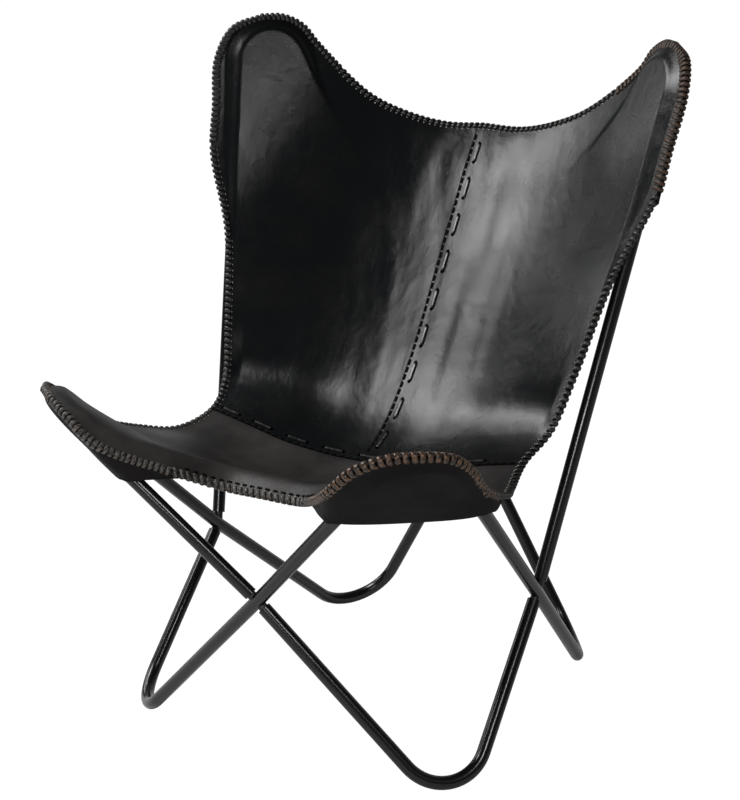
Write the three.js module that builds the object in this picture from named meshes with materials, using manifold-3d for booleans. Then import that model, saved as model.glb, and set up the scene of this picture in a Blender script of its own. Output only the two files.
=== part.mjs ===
// A butterfly sling chair: a knock-down frame of four bent steel tubes, and a leather sling
// whose four pockets hang over the frame's peaks. Millimetres, +Z up. The origin lies on the
// floor in the middle of the frame, the sitter faces -Y, and +X is on the sitter's left.
import * as THREE from 'three';
import { mergeVertices } from 'three/addons/utils/BufferGeometryUtils.js';
import Module from 'manifold-3d';

// Tube stock
const TUBE_DIAMETER = 18;
const TUBE_WALL = 1.5;
const SPIGOT_DIAMETER = 12.6;
const SPIGOT_DEPTH = 34;
const SHOULDER_GAP = 2.4;
const FOOT_FLAT_DEPTH = 0.8;

// Frame: where the straight runs would meet if the bends were sharp
const FRONT_PEAK_HALF_SPAN = 307;
const FRONT_PEAK_REACH = 393;
const FRONT_PEAK_HEIGHT = 540;
const FRONT_PEAK_BEND = 58;
const BACK_PEAK_HALF_SPAN = 370;
const BACK_PEAK_REACH = 245;
const BACK_PEAK_HEIGHT = 1040;
const BACK_PEAK_BEND = 47;
const BACK_RIGHT_PEAK_DROP = 15;
const FRONT_FOOT_HALF_SPAN = 266;
const FRONT_FOOT_REACH = 225;
const FRONT_FOOT_BEND = 62;
const BACK_FOOT_HALF_SPAN = 203;
const BACK_FOOT_REACH = 303;
const BACK_FOOT_BEND = 70;

// Frame: where the tubes cross
const FRONT_CROSS_REACH = 282;
const FRONT_CROSS_HEIGHT = 230;
const BACK_CROSS_REACH = 286;
const BACK_CROSS_HEIGHT = 314;
const SIDE_CROSS_HALF_SPAN = 261;
const SIDE_CROSS_REACH = 8;
const SIDE_CROSS_HEIGHT = 203;

// Leather
const LEATHER_THICKNESS = 3.2;
const FACING_THICKNESS = 1.6;
const FACING_SPAN_SHARE = 0.3;
const SEAM_LAP_WIDTH = 12;
const LACE_THICKNESS = 2.6;
const LACE_HEIGHT = 6.4;
const POCKET_LACE_HEIGHT = 9.4;
const LACE_END_GAP = 3;
const LACE_GAP = 1.05;
const FRONT_LACE_GAP = 0.7;
const TOP_LACE_GAP = 1.2;

// How far the laced rim lies outside the tube's centre line: at the inner leg, at the tip and
// at the side leg of a peak
const FRONT_RIM = { inner: 40, tip: 23, side: 19 };
const BACK_RIM = { inner: 32, tip: 26, side: 37 };

// Pockets: how far from the peak's corner the mouth crosses the inner leg, the middle of the
// pocket and the side leg. It is beside the inner leg before it is under it, and it starts a
// little past the end of the laced rim.
const FRONT_POCKET_MOUTH = { beside: 228, inner: 213, middle: 210, side: 226 };
const BACK_POCKET_MOUTH = { beside: 338, inner: 330, middle: 328, side: 336 };
const POCKET_MOUTH_OVERLAP = 12;
const POCKET_SLACK = 3;
const POCKET_RIM_INSET = 5.2;

// Sling: its centre line, and its free edges between the pockets
const TOP_EDGE_REACH = 315;
const TOP_EDGE_HEIGHT = 772;
const FRONT_EDGE_REACH = 277;
const FRONT_EDGE_HEIGHT = 369;
const SEAT_LOW_HEIGHT = 334;
const WAIST_HALF_WIDTH = 250;
const WAIST_HEIGHT = 388;

// Where the front edge comes to the inner leg of a front peak: how far down the leg from the bend
// it lies, how far outside the leg, and how far over the plane of the peak
const FRONT_LIP = { down: 114.6, out: 11.7, over: 37.1 };

// Clearance between pieces that touch, and how far a cutter runs past what it cuts
const FIT_GAP = 0.3;
const DRAPE_CLEARANCE = 2.6;
const OVERRUN = 20;

// How softly the sling leaves a tube that it lies on
const SOFTENED_LENGTH = 9;

// Facets
const TUBE_SIDES = 16;
const BORE_SIDES = 8;
const SPIGOT_SIDES = 12;
const BEND_STEPS = 8;
const LACE_SIDES = 6;
const FOOT_PASS_COUNT = 30;
const FACING_ROW_COUNT = 4;

const wasm = await Module();
wasm.setup();

const TUBE_RADIUS = TUBE_DIAMETER / 2;
const chair = new THREE.Group();

const paint = { color: '#101112', roughness: 0.28, metalness: 0.4 };
const spigotSteel = { color: '#17181a', roughness: 0.35, metalness: 0.6 };
const backLeather = { color: '#232526', roughness: 0.42, metalness: 0 };
const seatLeather = { color: '#262424', roughness: 0.5, metalness: 0 };
const pocketLeather = { color: '#2c2827', roughness: 0.6, metalness: 0 };
const laceLeather = { color: '#33241b', roughness: 0.55, metalness: 0 };

function addPiece(name, geometry, look) {
  const piece = new THREE.Mesh(geometry, new THREE.MeshStandardMaterial(look));
  piece.name = name;
  chair.add(piece);
}

const vec = (x, y, z) => new THREE.Vector3(x, y, z);
const mirrored = (p) => vec(-p.x, p.y, p.z);
const mix = (a, b, share) => a + (b - a) * share;
const between = (a, b, share) => a.clone().lerp(b, share);
const toward = (from, to) => to.clone().sub(from).normalize();
const moved = (p, direction, distance) => p.clone().addScaledVector(direction, distance);

// Solids: a manifold for cutting, and back to a geometry
function toManifold(geometry) {
  const bare = geometry.clone();
  bare.deleteAttribute('normal');
  bare.deleteAttribute('uv');
  const merged = mergeVertices(bare);
  const vertProperties = new Float32Array(merged.attributes.position.array);
  const triVerts = new Uint32Array(merged.index.array);
  return new wasm.Manifold(new wasm.Mesh({ numProp: 3, vertProperties, triVerts }));
}

function toGeometry(solid) {
  const mesh = solid.getMesh();
  const geometry = new THREE.BufferGeometry();
  geometry.setAttribute('position', new THREE.BufferAttribute(mesh.vertProperties, 3));
  geometry.setIndex(new THREE.BufferAttribute(mesh.triVerts, 1));
  geometry.computeVertexNormals();
  return geometry;
}

// A bend at a corner between two straight runs: its arc, and the plane that it lies in
function makeBend(corner, endA, endB, radius) {
  const a = toward(corner, endA);
  const b = toward(corner, endB);
  const inward = a.clone().add(b).normalize();
  const half = a.angleTo(b) / 2;
  const centre = moved(corner, inward, radius / Math.sin(half));
  const across = b.clone().sub(a).normalize();
  const normal = new THREE.Vector3().crossVectors(inward, across).normalize();
  return { corner, a, b, radius, half, centre, across, normal, outward: inward.clone().negate(),
    setback: radius / Math.tan(half) };
}

// A point of the bend's arc, turned by an angle from the middle of the bend towards run b
function arcPoint(bend, angle, radius) {
  const direction = bend.outward.clone().multiplyScalar(Math.cos(angle))
    .addScaledVector(bend.across, Math.sin(angle));
  return moved(bend.centre, direction, radius);
}

// A tube's centre line as rings: each has a place and the direction in which the tube runs there
class TubePath extends THREE.Curve {
  constructor(rings) {
    super();
    this.rings = rings;
  }
  ring(u) {
    return this.rings[Math.round(u * (this.rings.length - 1))];
  }
  getPoint(t) { return this.ring(t).at.clone(); }
  getPointAt(u) { return this.ring(u).at.clone(); }
  getTangentAt(u) { return this.ring(u).along.clone(); }
  getSpacedPoints(count) {
    return Array.from({ length: count + 1 }, (_, i) => this.getPointAt(i / count));
  }
}

// Rings along a route of corners. A corner with a bend radius becomes an arc of BEND_STEPS steps,
// and one without, where a tube is set a few degrees at a crossing, becomes a single mitred ring.
function ringsAlong(route) {
  const rings = [];
  route.forEach((stop, i) => {
    const before = route[i - 1];
    const after = route[i + 1];
    if (!before || !after) {
      const along = before ? toward(before.at, stop.at) : toward(stop.at, after.at);
      rings.push({ at: stop.at.clone(), along });
      return;
    }
    if (!stop.bend) {
      const along = toward(before.at, stop.at).add(toward(stop.at, after.at)).normalize();
      rings.push({ at: stop.at.clone(), along });
      return;
    }
    const bend = makeBend(stop.at, before.at, after.at, stop.bend);
    const sweep = Math.PI / 2 - bend.half;
    for (let k = 0; k <= BEND_STEPS; k += 1) {
      const angle = mix(-sweep, sweep, k / BEND_STEPS);
      const along = bend.across.clone().multiplyScalar(Math.cos(angle))
        .addScaledVector(bend.outward, -Math.sin(angle));
      rings.push({ at: arcPoint(bend, angle, stop.bend), along });
    }
  });
  return rings;
}

function polygon(radius, sides) {
  return Array.from({ length: sides }, (_, i) => {
    const angle = ((i + 0.5) / sides) * Math.PI * 2;
    return new THREE.Vector2(radius * Math.cos(angle), radius * Math.sin(angle));
  });
}

function bar(route, radius, sides, boreRadius = 0) {
  const section = new THREE.Shape(polygon(radius, sides));
  if (boreRadius > 0) section.holes.push(new THREE.Path(polygon(boreRadius, BORE_SIDES)));
  const rings = ringsAlong(route);
  return new THREE.ExtrudeGeometry(section, {
    steps: rings.length - 1, bevelEnabled: false, extrudePath: new TubePath(rings),
  });
}

// Frame nodes: the right-hand ones, and their mirror images on the left
const frontCross = vec(0, -FRONT_CROSS_REACH, FRONT_CROSS_HEIGHT);
const backCross = vec(0, BACK_CROSS_REACH, BACK_CROSS_HEIGHT);
const sideCross = { right: vec(SIDE_CROSS_HALF_SPAN, -SIDE_CROSS_REACH, SIDE_CROSS_HEIGHT) };
sideCross.left = mirrored(sideCross.right);
const frontPeak = { right: vec(FRONT_PEAK_HALF_SPAN, -FRONT_PEAK_REACH, FRONT_PEAK_HEIGHT) };
frontPeak.left = mirrored(frontPeak.right);
const backPeak = { left: vec(-BACK_PEAK_HALF_SPAN, BACK_PEAK_REACH, BACK_PEAK_HEIGHT) };
const raisedPeak = mirrored(backPeak.left);
backPeak.right = moved(raisedPeak, toward(raisedPeak, sideCross.right), BACK_RIGHT_PEAK_DROP);

// A foot's corner lies below the floor, as deep as lets the outside of its bend touch the floor
function footCorner(halfSpan, reach, bendRadius, crossA, crossB) {
  const corner = vec(halfSpan, reach, 0);
  const restHeight = TUBE_RADIUS - FOOT_FLAT_DEPTH;
  for (let pass = 0; pass < FOOT_PASS_COUNT; pass += 1) {
    const bend = makeBend(corner, crossA, crossB, bendRadius);
    const drop = bendRadius * Math.sqrt(1 - bend.normal.z ** 2);
    corner.z += restHeight - (bend.centre.z - drop);
  }
  return corner;
}

const frontFoot = { right: footCorner(FRONT_FOOT_HALF_SPAN, -FRONT_FOOT_REACH, FRONT_FOOT_BEND,
  frontCross, sideCross.right) };
frontFoot.left = mirrored(frontFoot.right);
const backFoot = { right: footCorner(BACK_FOOT_HALF_SPAN, BACK_FOOT_REACH, BACK_FOOT_BEND,
  backCross, sideCross.right) };
backFoot.left = mirrored(backFoot.right);

// Crossings: one tube runs through, and the two ends of the other are seated on spigots
// that stand on the through tube's sides.
const crossings = {
  front: { at: frontCross, through: [frontPeak.right, frontFoot.left],
    ends: { upper: frontPeak.left, lower: frontFoot.right } },
  right: { at: sideCross.right, through: [frontPeak.right, backFoot.right],
    ends: { upper: backPeak.right, lower: frontFoot.right } },
  left: { at: sideCross.left, through: [frontPeak.left, backFoot.left],
    ends: { upper: backPeak.left, lower: frontFoot.left } },
  back: { at: backCross, through: [backPeak.right, backFoot.left],
    ends: { upper: backPeak.left, lower: backFoot.right } },
};

// Where a tube's square end stops short of the through tube
function seatedEnd(crossing, end) {
  const run = toward(crossing.at, crossing.ends[end]);
  const standOffs = crossing.through.map((far) => {
    const angle = run.angleTo(toward(crossing.at, far));
    return (TUBE_RADIUS + SHOULDER_GAP + TUBE_RADIUS * Math.abs(Math.cos(angle))) / Math.sin(angle);
  });
  return moved(crossing.at, run, Math.max(...standOffs));
}

function frameTube(name, route) {
  const tube = toManifold(bar(route, TUBE_RADIUS, TUBE_SIDES, TUBE_RADIUS - TUBE_WALL));
  const span = Math.max(FRONT_PEAK_REACH, BACK_FOOT_REACH) * 2 + OVERRUN;
  const floorBlock = new THREE.BoxGeometry(span, span, OVERRUN);
  floorBlock.translate(0, 0, -OVERRUN / 2);
  addPiece(name, toGeometry(tube.subtract(toManifold(floorBlock))), paint);
}

frameTube('right_main_tube', [
  { at: seatedEnd(crossings.left, 'lower') },
  { at: frontFoot.left, bend: FRONT_FOOT_BEND },
  { at: frontCross },
  { at: frontPeak.right, bend: FRONT_PEAK_BEND },
  { at: sideCross.right },
  { at: backFoot.right, bend: BACK_FOOT_BEND },
  { at: seatedEnd(crossings.back, 'lower') },
]);
frameTube('left_main_tube', [
  { at: seatedEnd(crossings.front, 'upper') },
  { at: frontPeak.left, bend: FRONT_PEAK_BEND },
  { at: sideCross.left },
  { at: backFoot.left, bend: BACK_FOOT_BEND },
  { at: backCross },
  { at: backPeak.right, bend: BACK_PEAK_BEND },
  { at: seatedEnd(crossings.right, 'upper') },
]);
frameTube('back_left_hoop', [
  { at: seatedEnd(crossings.left, 'upper') },
  { at: backPeak.left, bend: BACK_PEAK_BEND },
  { at: seatedEnd(crossings.back, 'upper') },
]);
frameTube('front_right_foot_bow', [
  { at: seatedEnd(crossings.front, 'lower') },
  { at: frontFoot.right, bend: FRONT_FOOT_BEND },
  { at: seatedEnd(crossings.right, 'lower') },
]);

// Spigots: a short pin from the through tube's side into the bore of the seated tube
for (const [place, crossing] of Object.entries(crossings)) {
  const [farA, farB] = crossing.through;
  const cutter = toManifold(bar([{ at: farA }, { at: crossing.at }, { at: farB }],
    TUBE_RADIUS + FIT_GAP, TUBE_SIDES));
  for (const end of ['upper', 'lower']) {
    const seat = seatedEnd(crossing, end);
    const tip = moved(seat, toward(crossing.at, seat), SPIGOT_DEPTH);
    const pin = toManifold(bar([{ at: crossing.at }, { at: tip }], SPIGOT_DIAMETER / 2, SPIGOT_SIDES));
    const parts = pin.subtract(cutter).decompose();
    const kept = parts.sort((p, q) => q.volume() - p.volume())[0];
    addPiece(`${place}_cross_${end}_spigot`, toGeometry(kept), spigotSteel);
  }
}

// Peaks: each is a bend in its own plane. The sling is worked out one half at a time, on the
// right-hand side, so the left-hand peaks are mirrored here. Each peak's normal points to the
// side that the sling lies on.
function makePeak(corner, innerEnd, radius, rim) {
  const peak = makeBend(corner, innerEnd, sideCross.right, radius);
  const aboveSeat = vec(0, 0, BACK_PEAK_HEIGHT / 2);
  if (peak.normal.dot(toward(peak.centre, aboveSeat)) < 0) peak.normal.negate();
  peak.sweep = Math.PI / 2 - peak.half;
  peak.rim = rim;
  return peak;
}

// How far a point lies outside the peak's U-shaped centre line, measured in the peak's plane
function outsideOf(peak, point) {
  const offset = point.clone().sub(peak.centre);
  const u = offset.dot(peak.outward);
  const v = offset.dot(peak.across);
  if (Math.abs(Math.atan2(v, u)) < peak.sweep) return Math.hypot(u, v) - peak.radius;
  return Math.abs(v) * Math.sin(peak.sweep) + u * Math.cos(peak.sweep) - peak.radius;
}

const heightOver = (peak, point) => point.clone().sub(peak.centre).dot(peak.normal);

// Leather's middle over the tube's centre line where it lies on the tube, and at the rim, where
// the sling and its pocket are laced together
const CONTACT_HEIGHT = TUBE_RADIUS + LEATHER_THICKNESS / 2 + DRAPE_CLEARANCE;
const RIM_HEIGHT = LEATHER_THICKNESS / 2 + FIT_GAP / 2;

// The least height of the sling over the peak's plane, by the distance outside the centre line.
// It is level inside the bend, follows the tube, and then runs straight down to the rim.
function leastHeight(peak, outside) {
  const lean = CONTACT_HEIGHT / Math.min(peak.rim.tip, peak.rim.side);
  if (outside <= 0) return CONTACT_HEIGHT;
  if (outside < CONTACT_HEIGHT * lean) return Math.sqrt(CONTACT_HEIGHT ** 2 - outside ** 2);
  return (CONTACT_HEIGHT - outside * lean) / Math.sqrt(1 - lean ** 2);
}

// Lifts a point of the sling off the tube. Where the leather leaves the tube the two heights are
// blended over a soft step.
function drapeOver(peak, point) {
  const outside = outsideOf(peak, point);
  const free = heightOver(peak, point);
  const least = leastHeight(peak, outside);
  const step = SOFTENED_LENGTH * Math.min(1, Math.max(0, 1 - outside / CONTACT_HEIGHT));
  const height = (free + least + Math.hypot(free - least, step)) / 2;
  point.addScaledVector(peak.normal, height - free);
}

// Moves a point of a pocket under the tube, by as large a share as its rim lies at the peak's
// plane, and then off the tube
function drapeUnder(peak, point, share) {
  const outside = outsideOf(peak, point);
  const missing = leastHeight(peak, outside) + heightOver(peak, point);
  if (missing > 0) point.addScaledVector(peak.normal, -missing * share);
  const height = heightOver(peak, point);
  const distance = Math.hypot(outside, height);
  if (outside <= 0 || distance >= CONTACT_HEIGHT) return;
  const grow = CONTACT_HEIGHT / distance - 1;
  point.addScaledVector(outwardAt(peak, point), outside * grow);
  point.addScaledVector(peak.normal, height * grow);
}

// The direction in the peak's plane in which a point gets further outside
function outwardAt(peak, point) {
  const offset = point.clone().sub(peak.centre);
  const v = offset.dot(peak.across);
  const angle = Math.atan2(v, offset.dot(peak.outward));
  const limited = Math.max(-peak.sweep, Math.min(peak.sweep, angle));
  return toward(peak.centre, arcPoint(peak, limited, peak.radius));
}

// A point of the peak's rim. The angle share goes from -1 where the bend meets the inner leg, by
// 0 at the tip, to 1 at the side leg, and past the bend the rim goes on down the leg.
function rimPoint(peak, angleShare, downLeg) {
  const { inner, tip, side } = peak.rim;
  const margin = mix(tip, angleShare < 0 ? inner : side, Math.abs(angleShare));
  const leg = angleShare < 0 ? peak.a : peak.b;
  const onRim = moved(arcPoint(peak, angleShare * peak.sweep, peak.radius + margin), leg, downLeg);
  return moved(onRim, peak.normal, RIM_HEIGHT);
}

// A point beside a peak's inner leg
function besideLeg(peak, { down, out, over }) {
  const onLeg = moved(arcPoint(peak, -peak.sweep, peak.radius + out), peak.a, down);
  return moved(onLeg, peak.normal, over);
}

// Shares of the way from the front edge's depth to the top edge's, and of the way from the
// seat's lowest height to the top edge's
const centreShares = [
  [0, 0.08], [0.045, 0.12], [0.1, 0.093], [0.165, 0.048], [0.24, 0.014], [0.33, 0], [0.427, 0.034],
  [0.53, 0.105], [0.632, 0.249], [0.748, 0.482], [0.82, 0.64], [0.876, 0.757], [0.925, 0.862],
  [0.965, 0.938], [1, 1],
];
const ROWS = centreShares.length - 1;
const SEAM_SHARE = 6 / ROWS;
const centreLine = new THREE.CatmullRomCurve3(centreShares.map(([depth, height]) => vec(
  0,
  mix(-FRONT_EDGE_REACH, TOP_EDGE_REACH, depth),
  mix(SEAT_LOW_HEIGHT, TOP_EDGE_HEIGHT, height),
)));

// The side edge between the pockets: shares of the waist's half width, of the depth as above,
// and of the way from the waist's height to the back peak's
const sideShares = [
  [1.15, 0.22, -0.008], [1.06, 0.315, -0.025], [1.005, 0.421, 0], [1.06, 0.502, 0.049],
  [1.13, 0.556, 0.158], [1.25, 0.632, 0.354],
];
// The front and top edges between the pockets: shares of a peak's half span, of its reach, and
// of the way from the edge's middle height to the peak's height
const frontShares = [[0, 0.705, 0], [0.2, 0.71, 0.006]];
const topShares = [[0, 1.286, 0], [0.17, 1.27, -0.004], [0.33, 1.222, 0.045], [0.49, 1.18, 0.14]];

// The places of the rim's points: shares of the bend's sweep from the tip, and shares of the bend's
// radius down a leg from its end
const frontTipShares = [-0.8, -0.4, 0];
const backTipShares = [-1, -0.66, -0.33, 0];
const sideTipShares = [0, 0.5, 1];
const frontInnerLegShare = 0.5;
const frontSideLegShare = 1;
const backSideLegShares = [3, 1.5];

// Each half of the sling hangs between four curves: the centre line, the side edge, the front
// edge and the top edge. The side edge has a point for each point of the centre line.
function makeHalf(side) {
  const onRight = (point) => (side === 'left' ? mirrored(point) : point.clone());
  const front = makePeak(onRight(frontPeak[side]), frontCross, FRONT_PEAK_BEND, FRONT_RIM);
  const back = makePeak(onRight(backPeak[side]), backCross, BACK_PEAK_BEND, BACK_RIM);
  const sideEdge = new THREE.CatmullRomCurve3([
    ...sideTipShares.map((share) => rimPoint(front, share, 0)),
    rimPoint(front, 1, FRONT_PEAK_BEND * frontSideLegShare),
    ...sideShares.map(([half, depth, height]) => vec(
      half * WAIST_HALF_WIDTH,
      mix(-FRONT_EDGE_REACH, TOP_EDGE_REACH, depth),
      mix(WAIST_HEIGHT, BACK_PEAK_HEIGHT, height),
    )),
    ...backSideLegShares.map((share) => rimPoint(back, 1, BACK_PEAK_BEND * share)),
    ...sideTipShares.map((share) => rimPoint(back, share, 0)).reverse(),
  ]);
  const frontEdge = new THREE.CatmullRomCurve3([
    ...frontShares.map(([half, reach, height]) => vec(
      half * FRONT_PEAK_HALF_SPAN,
      -reach * FRONT_PEAK_REACH,
      mix(FRONT_EDGE_HEIGHT, FRONT_PEAK_HEIGHT, height),
    )),
    besideLeg(front, FRONT_LIP),
    rimPoint(front, -1, FRONT_PEAK_BEND * frontInnerLegShare),
    ...frontTipShares.map((share) => rimPoint(front, share, 0)),
  ]);
  const topEdge = new THREE.CatmullRomCurve3([
    ...topShares.map(([half, reach, height]) => vec(
      half * BACK_PEAK_HALF_SPAN,
      reach * BACK_PEAK_REACH,
      mix(TOP_EDGE_HEIGHT, BACK_PEAK_HEIGHT, height),
    )),
    ...backTipShares.map((share) => rimPoint(back, share, 0)),
  ]);
  return { front, back, sideEdge, frontEdge, topEdge };
}
const halves = { left: makeHalf('left'), right: makeHalf('right') };

// The sling's middle surface. across goes from 0 at the centre line to 1 at the side edge, and
// to -1 on the left, and along from 0 at the front edge to 1 at the top edge. Between the four
// curves the surface is blended, and over each peak it is draped on the tube.
function hungPoint(half, across, along) {
  const middle = centreLine.getPoint(along);
  const side = half.sideEdge.getPoint(along);
  const rise = across * across;
  return vec(across * side.x, mix(middle.y, side.y, rise), mix(middle.z, side.z, rise));
}

function slingPoint(across, along) {
  const half = across < 0 ? halves.left : halves.right;
  const way = Math.abs(across);
  const point = hungPoint(half, way, along);
  const frontPull = (1 - along) ** 4;
  const topPull = along ** 4;
  point.addScaledVector(half.frontEdge.getPoint(way).sub(hungPoint(half, way, 0)), frontPull);
  point.addScaledVector(half.topEdge.getPoint(way).sub(hungPoint(half, way, 1)), topPull);
  drapeOver(along < 0.5 ? half.front : half.back, point);
  if (across < 0) point.x = -point.x;
  return point;
}

// The upper face's direction. Close to an edge it is taken a little inside it.
const PROBE_SHARE = 0.01;
function slingNormal(across, along) {
  const side = Math.sign(across) || 1;
  const a = side * Math.min(Math.abs(across), 1 - PROBE_SHARE * 2);
  const l = Math.min(Math.max(along, PROBE_SHARE * 2), 1 - PROBE_SHARE * 2);
  const du = slingPoint(a + PROBE_SHARE, l).sub(slingPoint(a - PROBE_SHARE, l));
  const dv = slingPoint(a, l + PROBE_SHARE).sub(slingPoint(a, l - PROBE_SHARE));
  return du.cross(dv).normalize();
}

// A sheet between two equal grids of points, one above the other
function sheetSolid(upper, lower) {
  const rows = upper.length;
  const columns = upper[0].length;
  const points = [];
  for (const grid of [upper, lower]) for (const row of grid) points.push(...row);
  const at = (layer, i, j) => (layer * rows + i) * columns + j;
  const faces = [];
  const quad = (a, b, c, d) => faces.push(a, b, c, a, c, d);
  for (let i = 0; i < rows - 1; i += 1) {
    for (let j = 0; j < columns - 1; j += 1) {
      quad(at(0, i, j), at(0, i, j + 1), at(0, i + 1, j + 1), at(0, i + 1, j));
      quad(at(1, i, j), at(1, i + 1, j), at(1, i + 1, j + 1), at(1, i, j + 1));
    }
  }
  for (let j = 0; j < columns - 1; j += 1) {
    quad(at(0, 0, j), at(1, 0, j), at(1, 0, j + 1), at(0, 0, j + 1));
    quad(at(0, rows - 1, j + 1), at(1, rows - 1, j + 1), at(1, rows - 1, j), at(0, rows - 1, j));
  }
  for (let i = 0; i < rows - 1; i += 1) {
    quad(at(0, i + 1, 0), at(1, i + 1, 0), at(1, i, 0), at(0, i, 0));
    const [near, far] = [at(0, i, columns - 1), at(0, i + 1, columns - 1)];
    quad(near, at(1, i, columns - 1), at(1, i + 1, columns - 1), far);
  }
  return faceOut(points, faces);
}

// A closed geometry with its faces turned outwards
function faceOut(points, faces) {
  let volume = 0;
  for (let k = 0; k < faces.length; k += 3) {
    const [p, q, r] = [points[faces[k]], points[faces[k + 1]], points[faces[k + 2]]];
    volume += p.dot(q.clone().cross(r));
  }
  if (volume < 0) faces.reverse();
  const geometry = new THREE.BufferGeometry().setFromPoints(points);
  geometry.setIndex(faces);
  geometry.computeVertexNormals();
  return geometry;
}

// Grid lines: shares of the way in from a free edge, closer together near it, where the leather
// is draped on the tube
const acrossShares = [
  0, 0.02, 0.045, 0.075, 0.12, 0.18, 0.25, 0.33, 0.41, 0.5, 0.59, 0.68, 0.77, 0.85, 0.93, 1,
];
const alongShares = [
  0, 0.02, 0.043, 0.07, 0.11, 0.165, 0.23, 0.31, 0.39, 0.48, 0.58, 0.68, 0.79, 0.9, 1,
];

const alongRate = slingPoint(0, SEAM_SHARE).distanceTo(slingPoint(0, SEAM_SHARE + PROBE_SHARE)) / PROBE_SHARE;
const acrossRate = slingPoint(0, SEAM_SHARE).distanceTo(slingPoint(PROBE_SHARE, SEAM_SHARE)) / PROBE_SHARE;
const scarfShift = FIT_GAP / Math.sin(Math.atan2(LEATHER_THICKNESS, SEAM_LAP_WIDTH));

function layer(places, offset) {
  return places.map((row) => row.map(([across, along]) =>
    moved(slingPoint(across, along), slingNormal(across, along), offset)));
}

// Seat panel: from the front edge to the cross seam, with its back edge pared under the back panels
function seatGrid(seam, rows = alongShares) {
  const right = acrossShares.map((share) => 1 - share).reverse();
  const left = right.slice(1).reverse().map((share) => -share);
  return rows.map((share) => [...left, ...right].map((across) => [across, share * seam]));
}
const seamBelowSeat = SEAM_SHARE + SEAM_LAP_WIDTH / 2 / alongRate;
addPiece('seat_panel', sheetSolid(
  layer(seatGrid(SEAM_SHARE - SEAM_LAP_WIDTH / 2 / alongRate), LEATHER_THICKNESS / 2),
  layer(seatGrid(seamBelowSeat), -LEATHER_THICKNESS / 2),
), seatLeather);

// Back panels: from the cross seam to the top edge, the right one over the left one in the middle
function backGrid(side, seam, centre) {
  return alongShares.map((down) => acrossShares.map((share) =>
    [mix(side, centre, share), mix(1, seam, down)]));
}
const lapShare = SEAM_LAP_WIDTH / 2 / acrossRate;
const shiftShare = scarfShift / acrossRate;
const seamAbove = SEAM_SHARE - (SEAM_LAP_WIDTH / 2 - scarfShift) / alongRate;
const seamBelow = SEAM_SHARE + (SEAM_LAP_WIDTH / 2 + scarfShift) / alongRate;
addPiece('back_panel_right', sheetSolid(
  layer(backGrid(1, seamAbove, -lapShare), LEATHER_THICKNESS / 2),
  layer(backGrid(1, seamBelow, lapShare), -LEATHER_THICKNESS / 2),
), backLeather);
addPiece('back_panel_left', sheetSolid(
  layer(backGrid(-1, seamAbove, -lapShare - shiftShare), LEATHER_THICKNESS / 2),
  layer(backGrid(-1, seamBelow, lapShare - shiftShare), -LEATHER_THICKNESS / 2),
), backLeather);

// Front edge facing: a thin strip under the front edge between the pockets
const facingRows = alongShares.slice(0, FACING_ROW_COUNT);
const facingPlaces = seatGrid(seamBelowSeat, facingRows)
  .map((row) => row.filter(([across]) => Math.abs(across) < FACING_SPAN_SHARE));
const facingTop = -LEATHER_THICKNESS / 2 - FIT_GAP;
addPiece('front_edge_facing', sheetSolid(
  layer(facingPlaces, facingTop),
  layer(facingPlaces, facingTop - FACING_THICKNESS),
), seatLeather);

// The places of the sling's edges, at the same grid lines as the panels: from the middle of the
// front or top edge round the peak's tip to the cross seam
const edgeAlong = {
  front: (share) => SEAM_SHARE * share,
  back: (share) => mix(1, SEAM_SHARE, share),
};
function edgePlaces(place, from, to) {
  const free = acrossShares.slice(1, from + 1).reverse().map((share) => [1 - share, edgeAlong[place](0)]);
  const side = alongShares.slice(0, to + 1).map((share) => [1, edgeAlong[place](share)]);
  return [...free, ...side];
}

// Where each pocket's laced rim starts on the free edge and ends on the side edge, as the count
// of grid lines from the tip
const rimSpans = { front: [11, 10], back: [9, 9] };
const mouths = { front: FRONT_POCKET_MOUTH, back: BACK_POCKET_MOUTH };

// The pocket's own edge lies just under the sling's edge
const LACED_DEPTH = LEATHER_THICKNESS + FIT_GAP * 2;
const underEdge = ([across, along]) => {
  const edge = slingPoint(across, along);
  const inward = toward(edge, slingPoint(across * (1 - PROBE_SHARE), mix(along, 0.5, PROBE_SHARE)));
  return moved(moved(edge, inward, POCKET_RIM_INSET), slingNormal(across, along), -LACED_DEPTH);
};

// The middle of the mouth is the fourth of the six points that it runs through
const MOUTH_MIDDLE_SHARE = 3 / 5;

// Shares of the way from the rim to the mouth, closer together where the pocket bends on the tube
const depthShares = [0, 0.055, 0.11, 0.165, 0.24, 0.34, 0.48, 0.64, 0.82, 1];

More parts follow.
